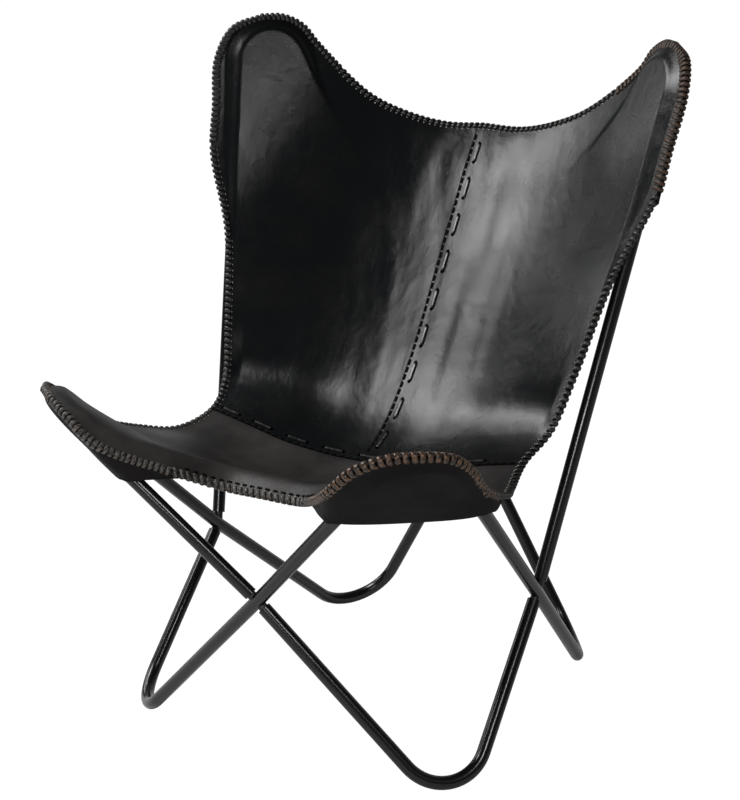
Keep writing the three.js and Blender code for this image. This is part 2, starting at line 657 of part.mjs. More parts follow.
// A pocket as a grid of points: a column from each place of its rim to the mouth, round the tube
function pocketGrid(place, sideName) {
  const peak = halves[sideName][place];
  const side = sideName === 'left' ? -1 : 1;
  const mouth = mouths[place];
  const [from, to] = rimSpans[place];
  const rim = edgePlaces(place, from, to).map(([across, along]) => {
    const point = underEdge([side * across, along]);
    return side < 0 ? mirrored(point) : point;
  });
  const past = (end, beforeEnd) => moved(
    moved(end, toward(beforeEnd, end), POCKET_MOUTH_OVERLAP), peak.normal, -LEATHER_THICKNESS / 2);
  const atLeg = (leg, side, reach, out, under) => {
    const outward = toward(peak.centre, arcPoint(peak, side * peak.sweep, peak.radius));
    return moved(moved(moved(peak.corner, leg, reach), outward, out), peak.normal, -under);
  };
  const mouthLine = new THREE.CatmullRomCurve3([
    past(rim[0], rim[1]),
    atLeg(peak.a, -1, mouth.beside, CONTACT_HEIGHT, 0),
    atLeg(peak.a, -1, mouth.inner, 0, CONTACT_HEIGHT),
    moved(moved(peak.corner, peak.outward, -mouth.middle), peak.normal, -CONTACT_HEIGHT),
    atLeg(peak.b, 1, mouth.side, 0, CONTACT_HEIGHT),
    past(rim[rim.length - 1], rim[rim.length - 2]),
  ]);
  const lengths = rim.map((point, k) => (k === 0 ? 0 : point.distanceTo(rim[k - 1])));
  const run = (upTo) => lengths.slice(0, upTo + 1).reduce((sum, length) => sum + length, 0);
  return rim.map((top, k) => {
    const round = k < from
      ? MOUTH_MIDDLE_SHARE * run(k) / run(from)
      : mix(MOUTH_MIDDLE_SHARE, 1, (run(k) - run(from)) / (run(rim.length - 1) - run(from)));
    const bottom = mouthLine.getPoint(round);
    const bulge = POCKET_SLACK * Math.sin(round * Math.PI);
    const atPlane = Math.min(1, Math.max(0, 1 - heightOver(peak, top) / CONTACT_HEIGHT));
    return depthShares.map((share) => {
      const point = moved(between(top, bottom, share), peak.normal, -bulge * Math.sin(share * Math.PI));
      if (share > 0) drapeUnder(peak, point, atPlane);
      return point;
    });
  });
}

// A grid of points moved along its own normals, for the two faces of a leather piece
function offsetGrid(grid, offset) {
  const last = grid.length - 1;
  const end = grid[0].length - 1;
  return grid.map((row, i) => row.map((point, j) => {
    const du = grid[Math.min(i + 1, last)][j].clone().sub(grid[Math.max(i - 1, 0)][j]);
    const dv = row[Math.min(j + 1, end)].clone().sub(row[Math.max(j - 1, 0)]);
    return moved(point, du.cross(dv).normalize(), offset);
  }));
}

// The edge lace: a thong wound over the leather's edge, shaped as the roll that it makes. It
// lies against the edge, and reaches a little over and under it.
function laceRoll(places, height, sunk, gap = LACE_GAP) {
  const points = places.map(([across, along]) => slingPoint(across, along));
  const rings = points.map((at, i) => {
    const run = toward(points[Math.max(i - 1, 0)], points[Math.min(i + 1, points.length - 1)]);
    const [across, along] = places[i];
    const normal = slingNormal(across, along);
    const outward = new THREE.Vector3().crossVectors(run, normal).normalize();
    const inside = slingPoint(across * (1 - PROBE_SHARE), mix(along, 0.5, PROBE_SHARE));
    if (outward.dot(inside.sub(at)) > 0) outward.negate();
    const centre = moved(moved(at, outward, gap + LACE_THICKNESS / 2), normal, -sunk);
    return polygon(1, LACE_SIDES).map(({ x, y }) =>
      moved(moved(centre, outward, x * LACE_THICKNESS / 2), normal, y * height / 2));
  });
  return rolled(rings);
}

// A closed bar through rings of points
function rolled(rings) {
  const sides = rings[0].length;
  const points = rings.flat();
  const faces = [];
  for (let i = 0; i < rings.length - 1; i += 1) {
    for (let k = 0; k < sides; k += 1) {
      const a = i * sides + k;
      const b = i * sides + ((k + 1) % sides);
      faces.push(a, b, b + sides, a, b + sides, a + sides);
    }
  }
  const lastRing = (rings.length - 1) * sides;
  for (let k = 1; k < sides - 1; k += 1) {
    faces.push(0, k + 1, k);
    faces.push(lastRing, lastRing + k, lastRing + k + 1);
  }
  return faceOut(points, faces);
}

// Free edges are laced between the pocket laces, which they stop just short of
const stopShare = LACE_END_GAP / acrossRate;
for (const [sideName, side] of [['left', -1], ['right', 1]]) {
  const onSide = (places) => places.map(([across, along]) => [side * across, along]);
  for (const place of ['front', 'back']) {
    const grid = pocketGrid(place, sideName).map((row) => row.map((p) => (side < 0 ? mirrored(p) : p)));
    const [from, to] = rimSpans[place];
    addPiece(`${place}_${sideName}_pocket`, sheetSolid(
      offsetGrid(grid, LEATHER_THICKNESS / 2),
      offsetGrid(grid, -LEATHER_THICKNESS / 2),
    ), pocketLeather);
    addPiece(`${place}_${sideName}_pocket_lace`,
      laceRoll(onSide(edgePlaces(place, from, to)), POCKET_LACE_HEIGHT, LACED_DEPTH / 2), laceLeather);
  }
  const fromFront = alongShares.slice(rimSpans.front[1]).map(edgeAlong.front);
  const fromBack = alongShares.slice(rimSpans.back[1]).map(edgeAlong.back);
  fromFront[0] += stopShare;
  fromBack[0] -= stopShare;
  const sideAlong = [...fromFront, ...fromBack.slice(0, -1).reverse()];
  addPiece(`${sideName}_edge_lace`,
    laceRoll(onSide(sideAlong.map((along) => [1, along])), LACE_HEIGHT, 0), laceLeather);
}
function freeEdgeLace(name, place, height, sunk, gap) {
  const half = acrossShares.slice(rimSpans[place][0]).map((share) => 1 - share);
  half[0] -= stopShare;
  const across = [...half.map((share) => -share), ...half.slice(0, -1).reverse()];
  addPiece(name, laceRoll(across.map((share) => [share, edgeAlong[place](0)]), height, sunk, gap),
    laceLeather);
}
const facingDepth = FACING_THICKNESS + FIT_GAP;
freeEdgeLace('front_edge_lace', 'front', LACE_HEIGHT + facingDepth, facingDepth / 2, FRONT_LACE_GAP);
freeEdgeLace('top_edge_lace', 'back', LACE_HEIGHT, 0, TOP_LACE_GAP);

// The origin goes to the middle of the chair's box on the floor
const box = new THREE.Box3().setFromObject(chair);
const middle = box.getCenter(vec(0, 0, 0));
for (const piece of chair.children) piece.geometry.translate(-middle.x, -middle.y, -box.min.z);

export default chair;
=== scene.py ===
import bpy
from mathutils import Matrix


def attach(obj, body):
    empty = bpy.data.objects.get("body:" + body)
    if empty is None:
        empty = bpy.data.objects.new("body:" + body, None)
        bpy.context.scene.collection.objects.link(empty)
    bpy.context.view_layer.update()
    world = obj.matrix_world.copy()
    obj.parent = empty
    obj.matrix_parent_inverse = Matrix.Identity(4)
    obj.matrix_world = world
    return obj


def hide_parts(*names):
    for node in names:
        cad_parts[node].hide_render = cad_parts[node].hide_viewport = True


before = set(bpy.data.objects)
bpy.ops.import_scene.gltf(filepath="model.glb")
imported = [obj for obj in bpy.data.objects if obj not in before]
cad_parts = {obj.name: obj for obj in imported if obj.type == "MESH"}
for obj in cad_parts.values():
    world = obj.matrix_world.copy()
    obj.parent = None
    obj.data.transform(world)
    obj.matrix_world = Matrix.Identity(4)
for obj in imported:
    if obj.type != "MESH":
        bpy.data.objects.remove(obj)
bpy.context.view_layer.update()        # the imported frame: bodies, nodes, joints and record

import math

import bmesh
import bpy
import numpy as np
from bpy.props import FloatProperty, FloatVectorProperty, PointerProperty
from mathutils import Vector

bl_info = {
    "name": "Butterfly sling chair",
    "version": (1, 0, 0),
    "blender": (4, 5, 0),
    "location": "View3D > Sidebar > Sling chair",
    "description": "Dresses the packed frame of a leather butterfly chair",
    "category": "Object",
}

# Where the drawing's origin, in the middle of the frame's crossings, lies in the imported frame
ORIGIN = np.array([0.00071, 0.038018, 0.0])
BODY = "root"


# The sizes and colours that a user would change

def a_length(name, description, default):
    return FloatProperty(name=name, description=description, default=default, unit="LENGTH")


def a_share(name, description, default, least):
    return FloatProperty(name=name, description=description, default=default, min=least, max=1.0,
                         subtype="FACTOR")


def srgb(text):
    """The sRGB values of a hex string, from 0 to 1"""
    return [int(text[k:k + 2], 16) / 255 for k in (1, 3, 5)]


def a_colour(name, description, default):
    return FloatVectorProperty(name=name, description=description, default=srgb(default), size=3,
                               min=0, max=1, subtype="COLOR_GAMMA")


class FrameSizes(bpy.types.PropertyGroup):
    """The bent steel tube frame"""
    tube_diameter: a_length("Tube diameter", "Outside diameter of the tube", 0.018)
    tube_wall: a_length("Tube wall", "Wall thickness of the tube", 0.0015)
    shoulder_gap: a_length("Shoulder gap", "Open length of spigot between two seated tubes", 0.0024)
    bore_depth: a_length("Bore depth", "How deep an open tube end is drawn", 0.036)
    front_peak_bend: a_length("Front peak bend", "Bend radius at the front peaks", 0.058)
    back_peak_bend: a_length("Back peak bend", "Bend radius at the back peaks", 0.047)
    front_foot_bend: a_length("Front foot bend", "Bend radius at the front feet", 0.062)
    back_foot_bend: a_length("Back foot bend", "Bend radius at the back feet", 0.070)


class HideSizes(bpy.types.PropertyGroup):
    """The leather sling"""
    thickness: a_length("Hide thickness", "Thickness of the sling leather", 0.0032)
    facing_thickness: a_length("Facing thickness", "Thickness of the strip under the front edge", 0.0016)
    drape_clearance: a_length("Drape clearance", "Air between the tube and the leather on it", 0.0006)
    seam_lap: a_length("Seam lap", "Width by which two panels overlap at a seam", 0.012)
    lap_rise: a_length("Lap rise", "Step of the upper panel's pared edge over the lower panel", 0.0002)
    crease_depth: a_length("Crease depth", "Depth of the soft creases in the hung leather", 0.0007)


class LacingSizes(bpy.types.PropertyGroup):
    """The whip lacing round the edges and the sewn seams"""
    lace_pitch: a_length("Lace pitch", "Distance between two turns of the edge lacing", 0.0086)
    lace_width: a_length("Lace width", "Width of the edge thong", 0.0054)
    lace_thickness: a_length("Lace thickness", "Thickness of the thong", 0.0020)
    lace_inset: a_length("Lace inset", "Distance of the lacing holes from the edge", 0.0078)
    pocket_lace_pitch: a_length("Pocket lace pitch", "Distance between two turns round a pocket", 0.0076)
    broad_lace_pitch: a_length("Broad lace pitch", "The same round the front right pocket", 0.0096)
    pocket_lace_fill: a_share("Pocket lace fill", "Share of the pitch that a turn takes", 0.76, 0.3)
    pocket_lace_thickness: a_share(
        "Pocket lace thickness", "Thickness of the padded thong, as a share of its width", 0.40, 0.1)
    stitch_pitch: a_length("Stitch pitch", "Distance between two short seam stitches", 0.0118)
    stitch_length: a_length("Stitch length", "Visible length of a short seam stitch", 0.0078)
    thread_width: a_length("Thread width", "Width of the waxed seam cord", 0.0040)
    strap_pitch: a_length("Strap pitch", "Distance between two long stitches beside a seam", 0.0575)
    strap_length: a_length("Strap length", "Visible length of a long stitch", 0.030)
    strap_width: a_length("Strap width", "Width of the thong of the long stitches", 0.0028)


class Finishes(bpy.types.PropertyGroup):
    """The colours, as sRGB"""
    enamel: a_colour("Enamel", "Stoved enamel on the tubes", "#0c0c0d")
    back_hide: a_colour("Back hide", "Finished hide of the back panels", "#060708")
    seat_hide: a_colour("Seat hide", "Finished hide of the seat panel", "#2a2827")
    pocket_hide: a_colour("Pocket hide", "Matt hide of the pockets", "#120f0f")
    black_thong: a_colour("Black thong", "Dyed thong on the free edges", "#0d0c0b")
    brown_thong: a_colour("Brown thong", "Thong with its dye worn to brown", "#63452d")
    dusty_thong: a_colour("Rubbed thong", "Thong with its dye rubbed grey", "#665e58")


# Small geometry

def unit(vectors):
    """Vectors made one metre long"""
    return vectors / np.maximum(np.linalg.norm(vectors, axis=-1, keepdims=True), 1e-12)


def dot(a, b):
    return np.sum(a * b, axis=-1)


def mix(a, b, share):
    return a + (b - a) * share


def smooth(low, high, value):
    """0 below low and 1 above high, with a smooth way between"""
    share = np.clip((value - low) / (high - low), 0, 1)
    return share * share * (3 - 2 * share)


def mirrored(points):
    return points * np.array([-1.0, 1.0, 1.0])


def run_length(points, axis=0):
    """How far each point lies along its row, from 0 at the row's first point"""
    steps = np.linalg.norm(np.diff(points, axis=axis), axis=-1)
    return np.insert(np.cumsum(steps, axis=axis), 0, 0, axis=axis)


class Curve:
    """A smooth line through points, taken at shares of the way from its first to its last. Its
    slopes allow for the points' distances, so that it doesn't overshoot between them."""

    def __init__(self, points):
        points = np.array(points, float)
        self.last = len(points) - 1
        self.points = np.vstack([2 * points[0] - points[1], points, 2 * points[-1] - points[-2]])

    def __call__(self, share):
        place = np.asarray(share, float) * self.last
        first = np.clip(np.floor(place), 0, self.last - 1).astype(int)
        weight = (place - first)[..., None]
        p0, p1, p2, p3 = (self.points[first + k] for k in range(4))
        d0, d1, d2 = (np.sqrt(np.linalg.norm(q - p, axis=-1))[..., None]
                      for p, q in ((p0, p1), (p1, p2), (p2, p3)))
        t1 = ((p1 - p0) / d0 - (p2 - p0) / (d0 + d1) + (p2 - p1) / d1) * d1
        t2 = ((p2 - p1) / d1 - (p3 - p1) / (d1 + d2) + (p3 - p2) / d2) * d1
        square, cube = weight ** 2, weight ** 3
        return (p1 + t1 * weight + (3 * (p2 - p1) - 2 * t1 - t2) * square
                + (2 * (p1 - p2) + t1 + t2) * cube)


class Bend:
    """A round bend at a corner between two straight runs, and the plane that it lies in"""

    def __init__(self, corner, end_a, end_b, radius):
        self.corner, self.radius = corner, radius
        self.a, self.b = unit(end_a - corner), unit(end_b - corner)
        inward = unit(self.a + self.b)
        half = math.acos(dot(self.a, self.b)) / 2
        self.sweep = math.pi / 2 - half
        self.outward = -inward
        self.centre = corner + inward * radius / math.sin(half)
        self.across = unit(self.b - self.a)
        self.normal = unit(np.cross(inward, self.across))

    def arc(self, angle, radius):
        """Points of an arc round the bend's centre, from its middle towards run b"""
        angle = np.asarray(angle, float)[..., None]
        radius = np.asarray(radius, float)[..., None]
        return self.centre + radius * (np.cos(angle) * self.outward + np.sin(angle) * self.across)


# The frame's lines

FRONT_CROSS = np.array([0.0, -0.282, 0.230])
BACK_CROSS = np.array([0.0, 0.286, 0.314])
SIDE_CROSS = np.array([0.261, -0.008, 0.203])
FRONT_PEAK = np.array([0.307, -0.393, 0.540])
BACK_PEAK = np.array([0.370, 0.245, 1.040])
BACK_RIGHT_PEAK_DROP = 0.015
FRONT_FOOT = np.array([0.266, -0.225, 0.0])
BACK_FOOT = np.array([0.203, 0.303, 0.0])
FOOT_FLAT_DEPTH = 0.0008
SETTLING_STEPS = 40
BEND_RINGS = 22
TUBE_SIDES = 36


def foot_corner(foot, cross, bend_radius, tube_radius):
    """The corner of a foot, as far below the floor as lets its bend touch the floor"""
    corner = foot.copy()
    for _ in range(SETTLING_STEPS):
        bend = Bend(corner, cross, SIDE_CROSS, bend_radius)
        drop = bend_radius * math.sqrt(1 - bend.normal[2] ** 2)
        corner[2] += tube_radius - FOOT_FLAT_DEPTH - (bend.centre[2] - drop)
    return corner


def frame_lines(sizes):
    """The places of the frame's corners and crossings"""
    radius = sizes.tube_diameter / 2
    front = foot_corner(FRONT_FOOT, FRONT_CROSS, sizes.front_foot_bend, radius)
    back = foot_corner(BACK_FOOT, BACK_CROSS, sizes.back_foot_bend, radius)
    return {
        "front_cross": FRONT_CROSS, "back_cross": BACK_CROSS,
        "side_cross.right": SIDE_CROSS, "side_cross.left": mirrored(SIDE_CROSS),
        "front_peak.right": FRONT_PEAK, "front_peak.left": mirrored(FRONT_PEAK),
        "back_peak.left": mirrored(BACK_PEAK),
        "back_peak.right": BACK_PEAK + unit(SIDE_CROSS - BACK_PEAK) * BACK_RIGHT_PEAK_DROP,
        "front_foot.right": front, "front_foot.left": mirrored(front),
        "back_foot.right": back, "back_foot.left": mirrored(back),
    }


# Each crossing: the tube that runs through, and where the seated tubes' ends go
CROSSINGS = {
    "front": ("front_cross", ("front_peak.right", "front_foot.left")),
    "right": ("side_cross.right", ("front_peak.right", "back_foot.right")),
    "left": ("side_cross.left", ("front_peak.left", "back_foot.left")),
    "back": ("back_cross", ("back_peak.right", "back_foot.left")),
}

# Each tube: its first seated end, the corners and crossings that it runs through, its last end
TUBES = {
    "right_main_tube": (("left", "front_foot.left"), [
        "front_foot.left", "front_cross", "front_peak.right", "side_cross.right",
        "back_foot.right"], ("back", "back_foot.right")),
    "left_main_tube": (("front", "front_peak.left"), [
        "front_peak.left", "side_cross.left", "back_foot.left", "back_cross",
        "back_peak.right"], ("right", "back_peak.right")),
    "back_left_hoop": (("left", "back_peak.left"), ["back_peak.left"], ("back", "back_peak.left")),
    "front_right_foot_bow": (("front", "front_foot.right"), ["front_foot.right"],
                             ("right", "front_foot.right")),
}


def seated_end(lines, crossing, end, sizes):
    """Where a seated tube's square end stops short of the tube that runs through"""
    radius = sizes.tube_diameter / 2
    at, through = lines[CROSSINGS[crossing][0]], CROSSINGS[crossing][1]
    run = unit(lines[end] - at)
    stand_offs = []
    for far in through:
        cosine = float(dot(run, unit(lines[far] - at)))
        stand_offs.append((radius + sizes.shoulder_gap + radius * abs(cosine))
                          / math.sqrt(1 - cosine ** 2))
    return at + run * max(stand_offs)


def centre_line(lines, name, sizes):
    """Places and directions along a tube's centre line, with round bends"""
    bends = {"front_peak": sizes.front_peak_bend, "back_peak": sizes.back_peak_bend,
             "front_foot": sizes.front_foot_bend, "back_foot": sizes.back_foot_bend}
    first, stops, last = TUBES[name]
    route = [seated_end(lines, *first, sizes), *(lines[stop] for stop in stops),
             seated_end(lines, *last, sizes)]
    places, directions = [route[0]], [unit(route[1] - route[0])]
    for k, stop in enumerate(stops, start=1):
        before, after = unit(route[k] - route[k - 1]), unit(route[k + 1] - route[k])
        radius = bends.get(stop.split(".")[0])
        if radius is None:
            places.append(route[k])
            directions.append(unit(before + after))
            continue
        bend = Bend(route[k], route[k - 1], route[k + 1], radius)
        for angle in np.linspace(-bend.sweep, bend.sweep, BEND_RINGS):
            places.append(bend.arc(angle, radius))
            directions.append(math.cos(angle) * bend.across - math.sin(angle) * bend.outward)
    places.append(route[-1])
    directions.append(unit(route[-1] - route[-2]))
    return np.array(places), np.array(directions)


# The sling's shape

# How far the laced rim lies outside the tube's centre line, at the inner leg, tip and side leg
FRONT_RIM = (0.040, 0.023, 0.019)
BACK_RIM = (0.032, 0.026, 0.037)
# How far down from a peak's corner a pocket's mouth lies: beside the inner leg, under it, in the
# middle and under the side leg
FRONT_MOUTH = (0.228, 0.213, 0.210, 0.226)
BACK_MOUTH = (0.338, 0.330, 0.328, 0.336)
# The share of the way round a mouth that lies under the free edge
MOUTH_TURN = 0.6
# How far a mouth's ends lie past the rim's, how far a pocket bulges, and how far its rim lies
# inside the sling's edge
MOUTH_OVERLAP = 0.012
POCKET_SLACK = 0.003
POCKET_INSET = 0.0020
# Depth and height of the top and the front edge's middle, the seat's least height, and half the
# width of the sling's waist and its height
TOP_EDGE = (0.315, 0.772)
FRONT_EDGE = (0.277, 0.369)
SEAT_LOW = 0.334
WAIST = (0.250, 0.388)
# How softly the leather leaves a tube, the air between two hides, and the facing's half width
# and depth as shares of the sling's half width and of the way to the cross seam
SOFT_STEP = 0.009
FIT_GAP = 0.0003
FACING_SPAN_SHARE = 0.30
FACING_DEPTH_SHARE = 0.07

# Shares of the depth from the front edge to the top edge, and of the height from the seat's
# lowest point to the top edge
CENTRE_SHARES = [
    (0, 0.08), (0.045, 0.12), (0.1, 0.093), (0.165, 0.048), (0.24, 0.014), (0.33, 0), (0.427, 0.034),
    (0.53, 0.105), (0.632, 0.249), (0.748, 0.482), (0.82, 0.64), (0.876, 0.757), (0.925, 0.862),
    (0.965, 0.938), (1, 1),
]
SEAM_SHARE = 6 / (len(CENTRE_SHARES) - 1)
# Shares of the waist's half width, of the depth, and of the height up to the back peak
SIDE_SHARES = [
    (1.15, 0.22, -0.008), (1.06, 0.315, -0.025), (1.005, 0.421, 0), (1.06, 0.502, 0.049),
    (1.13, 0.556, 0.158), (1.25, 0.632, 0.354),
]
# Shares of a peak's half span, of its reach, and of the height up to it
FRONT_SHARES = [(0, 0.705, 0), (0.2, 0.71, 0.006)]
TOP_SHARES = [(0, 1.286, 0), (0.17, 1.27, -0.004), (0.33, 1.222, 0.045), (0.49, 1.18, 0.14)]
# How far down the inner leg from the bend the front edge comes to it, outside it and over it
FRONT_LIP = (0.1146, 0.0117, 0.0371)
# Where the pockets' laced rims end: shares of the way in from the tip along the free edge and
# along the side edge
RIM_SHARES = {"front": (0.68, 0.58), "back": (0.50, 0.48)}
# The step, as a share of across or along, over which the surface's slopes are measured
PROBE = 0.004
# Folds of the back where the tubes pull on it. Each: where it stands across at the top edge, how
# far it drifts towards the seat, its half width, its height, and from where up to where it grows
SLING_FOLDS = [
    (0.185, 0.05, 0.050, 0.0019, 0.52, 0.62),
    (-0.075, -0.20, 0.040, 0.0012, 0.58, 0.95),
    (-0.190, -0.05, 0.028, 0.0007, 0.80, 0.98),
]
# A shallow hollow across each side where the back turns into the seat
SAG_SHARE, SAG_WIDTH, SAG_DEPTH = 0.533, 0.034, 0.0056


class Sling:
    """The sling's middle surface. across goes from -1 on the left by 0 at the centre line to 1,
    and along from 0 at the front edge to 1 at the top edge."""

    def __init__(self, lines, frame_sizes, hide):
        self.contact = frame_sizes.tube_diameter / 2 + hide.thickness / 2 + hide.drape_clearance
        self.rim_height = hide.thickness / 2 + FIT_GAP / 2
        self.thickness = hide.thickness
        self.crease_depth = hide.crease_depth
        self.centre = Curve([
            (0, mix(-FRONT_EDGE[0], TOP_EDGE[0], depth), mix(SEAT_LOW, TOP_EDGE[1], height))
            for depth, height in CENTRE_SHARES])
        self.halves = {side: self.half(lines, side, frame_sizes) for side in ("left", "right")}

    def peak(self, corner, inner_end, radius, rim):
        """A peak of the frame as the sling sees it, with its normal on the sling's side"""
        peak = Bend(corner, inner_end, SIDE_CROSS, radius)
        if dot(peak.normal, np.array([0, 0, BACK_PEAK[2] / 2]) - peak.centre) < 0:
            peak.normal = -peak.normal
        peak.rim = rim
        return peak

    def rim_point(self, peak, angle_share, down_leg):
        inner, tip, side = peak.rim
        margin = mix(tip, inner if angle_share < 0 else side, abs(angle_share))
        leg = peak.a if angle_share < 0 else peak.b
        return (peak.arc(angle_share * peak.sweep, peak.radius + margin) + leg * down_leg
                + peak.normal * self.rim_height)

    def beside_leg(self, peak, down, out, over):
        return peak.arc(-peak.sweep, peak.radius + out) + peak.a * down + peak.normal * over

    def half(self, lines, side, sizes):
        """A half of the sling, worked out on the right-hand side"""
        def place(key):
            return mirrored(lines[key]) if side == "left" else lines[key]
        front = self.peak(place(f"front_peak.{side}"), FRONT_CROSS, sizes.front_peak_bend, FRONT_RIM)
        back = self.peak(place(f"back_peak.{side}"), BACK_CROSS, sizes.back_peak_bend, BACK_RIM)
        rim = self.rim_point
        front_bend, back_bend = sizes.front_peak_bend, sizes.back_peak_bend
        side_edge = Curve(
            [rim(front, 0, 0), rim(front, 0.5, 0), rim(front, 1, 0), rim(front, 1, front_bend)]
            + [(half * WAIST[0], mix(-FRONT_EDGE[0], TOP_EDGE[0], depth),
                mix(WAIST[1], BACK_PEAK[2], height)) for half, depth, height in SIDE_SHARES]
            + [rim(back, 1, back_bend * 3), rim(back, 1, back_bend * 1.5), rim(back, 1, 0),
               rim(back, 0.5, 0), rim(back, 0, 0)])
        front_edge = Curve(
            [(half * FRONT_PEAK[0], reach * FRONT_PEAK[1], mix(FRONT_EDGE[1], FRONT_PEAK[2], height))
             for half, reach, height in FRONT_SHARES]
            + [self.beside_leg(front, *FRONT_LIP), rim(front, -1, front_bend / 2),
               rim(front, -0.8, 0), rim(front, -0.4, 0), rim(front, 0, 0)])
        top_edge = Curve(
            [(half * BACK_PEAK[0], reach * BACK_PEAK[1], mix(TOP_EDGE[1], BACK_PEAK[2], height))
             for half, reach, height in TOP_SHARES]
            + [rim(back, -1, 0), rim(back, -0.66, 0), rim(back, -0.33, 0), rim(back, 0, 0)])
        return {"front": front, "back": back, "side": side_edge,
                "front_edge": front_edge, "top_edge": top_edge}

    def outside(self, peak, points):
        """How far points lie outside a peak's U-shaped centre line, in its plane"""
        offset = points - peak.centre
        u, v = offset @ peak.outward, offset @ peak.across
        in_bend = np.abs(np.arctan2(v, u)) < peak.sweep
        beside = np.abs(v) * math.sin(peak.sweep) + u * math.cos(peak.sweep)
        return np.where(in_bend, np.hypot(u, v), beside) - peak.radius

    def least_height(self, peak, outside):
        """The least height over a peak's plane: level, round the tube, then straight to the rim"""
        lean = self.contact / min(peak.rim[1:])
        over = np.sqrt(np.maximum(self.contact ** 2 - outside ** 2, 0))
        down = (self.contact - outside * lean) / math.sqrt(1 - lean ** 2)
        return np.where(outside <= 0, self.contact,
                        np.where(outside < self.contact * lean, over, down))

    def drape_over(self, peak, points):
        """Lifts points of the sling off a tube, softly where the leather leaves it"""
        outside = self.outside(peak, points)
        free = (points - peak.centre) @ peak.normal
        least = self.least_height(peak, outside)
        step = SOFT_STEP * np.clip(1 - outside / self.contact, 0, 1)
        lift = (least - free + np.hypot(free - least, step)) / 2
        return points + lift[..., None] * peak.normal

    def drape_under(self, peak, points, share):
        """Moves points of a pocket under a tube and clear of it"""
        outside = self.outside(peak, points)
        height = (points - peak.centre) @ peak.normal
        missing = np.maximum(self.least_height(peak, outside) + height, 0)
        points = points - (missing * share)[..., None] * peak.normal
        height = height - missing * share
        distance = np.maximum(np.hypot(outside, height), 1e-9)
        grow = np.where((outside > 0) & (distance < self.contact), self.contact / distance - 1, 0)
        offset = points - peak.centre
        angle = np.arctan2(offset @ peak.across, offset @ peak.outward)
        outward = unit(peak.arc(np.clip(angle, -peak.sweep, peak.sweep), 1.0) - peak.centre)
        return (points + (outside * grow)[..., None] * outward
                + (height * grow)[..., None] * peak.normal)

    def hung(self, half, way, along):
        middle, side = self.centre(along), half["side"](along)
        rise = way ** 2
        return np.stack([way * side[..., 0], mix(middle[..., 1], side[..., 1], rise),
                         mix(middle[..., 2], side[..., 2], rise)], axis=-1)

    def half_points(self, half, way, along):
        points = self.hung(half, way, along)
        front_pull, top_pull = ((1 - along) ** 4)[..., None], (along ** 4)[..., None]
        zero, one = np.zeros_like(along), np.ones_like(along)
        points = points + (half["front_edge"](way) - self.hung(half, way, zero)) * front_pull
        points = points + (half["top_edge"](way) - self.hung(half, way, one)) * top_pull
        return np.where((along < 0.5)[..., None], self.drape_over(half["front"], points),
                        self.drape_over(half["back"], points))

    def points(self, across, along):
        """Points of the sling's middle surface"""
        across, along = np.broadcast_arrays(np.asarray(across, float), np.asarray(along, float))
        way = np.abs(across)
        right = self.half_points(self.halves["right"], way, along)
        left = mirrored(self.half_points(self.halves["left"], way, along))
        return np.where((across < 0)[..., None], left, right)

    def inside(self, across, along):
        """Points of the middle surface a little way in from an edge's points"""
        return self.points(across * (1 - PROBE), mix(along, 0.5, PROBE))

    def normals(self, across, along):
        """The upper face's directions, taken a little inside an edge"""
        across, along = np.broadcast_arrays(np.asarray(across, float), np.asarray(along, float))
        inner = 1 - 2 * PROBE
        across, along = np.clip(across, -inner, inner), np.clip(along, 2 * PROBE, inner)
        sideways = self.points(across + PROBE, along) - self.points(across - PROBE, along)
        lengthwise = self.points(across, along + PROBE) - self.points(across, along - PROBE)
        return unit(np.cross(sideways, lengthwise))

    def creases(self, across, along):
        """Soft creases of the hung leather, in metres along its normal: three uneven waves that
        slant down the back, a flatter ripple on the seat, the folds and the hollows"""
        edge = (smooth(0.0, 0.10, 1 - np.abs(across)) * smooth(0.0, 0.05, along)
                * smooth(0, 0.05, 1 - along))
        back = smooth(SEAM_SHARE + 0.04, 0.62, along)
        slant = across * 7.0 + along * 2.2
        ripple = (0.45 * np.sin(slant * 2.9 + 1.3 * np.sin(along * 6.1))
                  + 0.30 * np.sin(slant * 5.3 + 2.0 * np.sin(along * 9.0 + across * 3.0) + 0.7)
                  + 0.18 * np.sin(slant * 11.0 + along * 14.0 + 2.1))
        near_seam = np.exp(-((across - 0.02) / 0.42) ** 2)
        seat = (0.35 * np.sin(across * 5.0 + along * 21.0) * np.sin(along * 11.0 + across * 2.0)
                * (1 - back))
        depth = self.crease_depth * (ripple * near_seam * back + seat)
        for middle, slope, width, height, low, high in SLING_FOLDS:
            line = middle + slope * (1 - along)
            depth = depth + (height * np.exp(-((across - line) / width) ** 2)
                             * smooth(low, high, along))
        sag = np.exp(-((along - SAG_SHARE) / SAG_WIDTH) ** 2) * smooth(0.22, 0.5, np.abs(across))
        return edge * (depth - SAG_DEPTH * sag)

    def face(self, across, along, offset):
        """Points of a face of the leather, offset along its normal, creases included"""
        normal = self.normals(across, along)
        lift = np.asarray(offset) + self.creases(across, along)
        return self.points(across, along) + normal * np.broadcast_to(lift, across.shape)[..., None]

    def rate(self, across, along, ways):
        """Metres of leather for a whole unit of across, or of along"""
        step = PROBE / 2
        sideways, lengthwise = (step, 0) if ways == "across" else (0, step)
        here = self.points(np.asarray(across - sideways), np.asarray(along - lengthwise))
        there = self.points(np.asarray(across + sideways), np.asarray(along + lengthwise))
        return np.linalg.norm(there - here, axis=-1) / (2 * step)


# Making meshes

def put(verts, points):
    """Moves a mesh's points to their places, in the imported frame"""
    for vert, point in zip(verts, points.reshape(-1, 3) + ORIGIN):
        vert.co = point


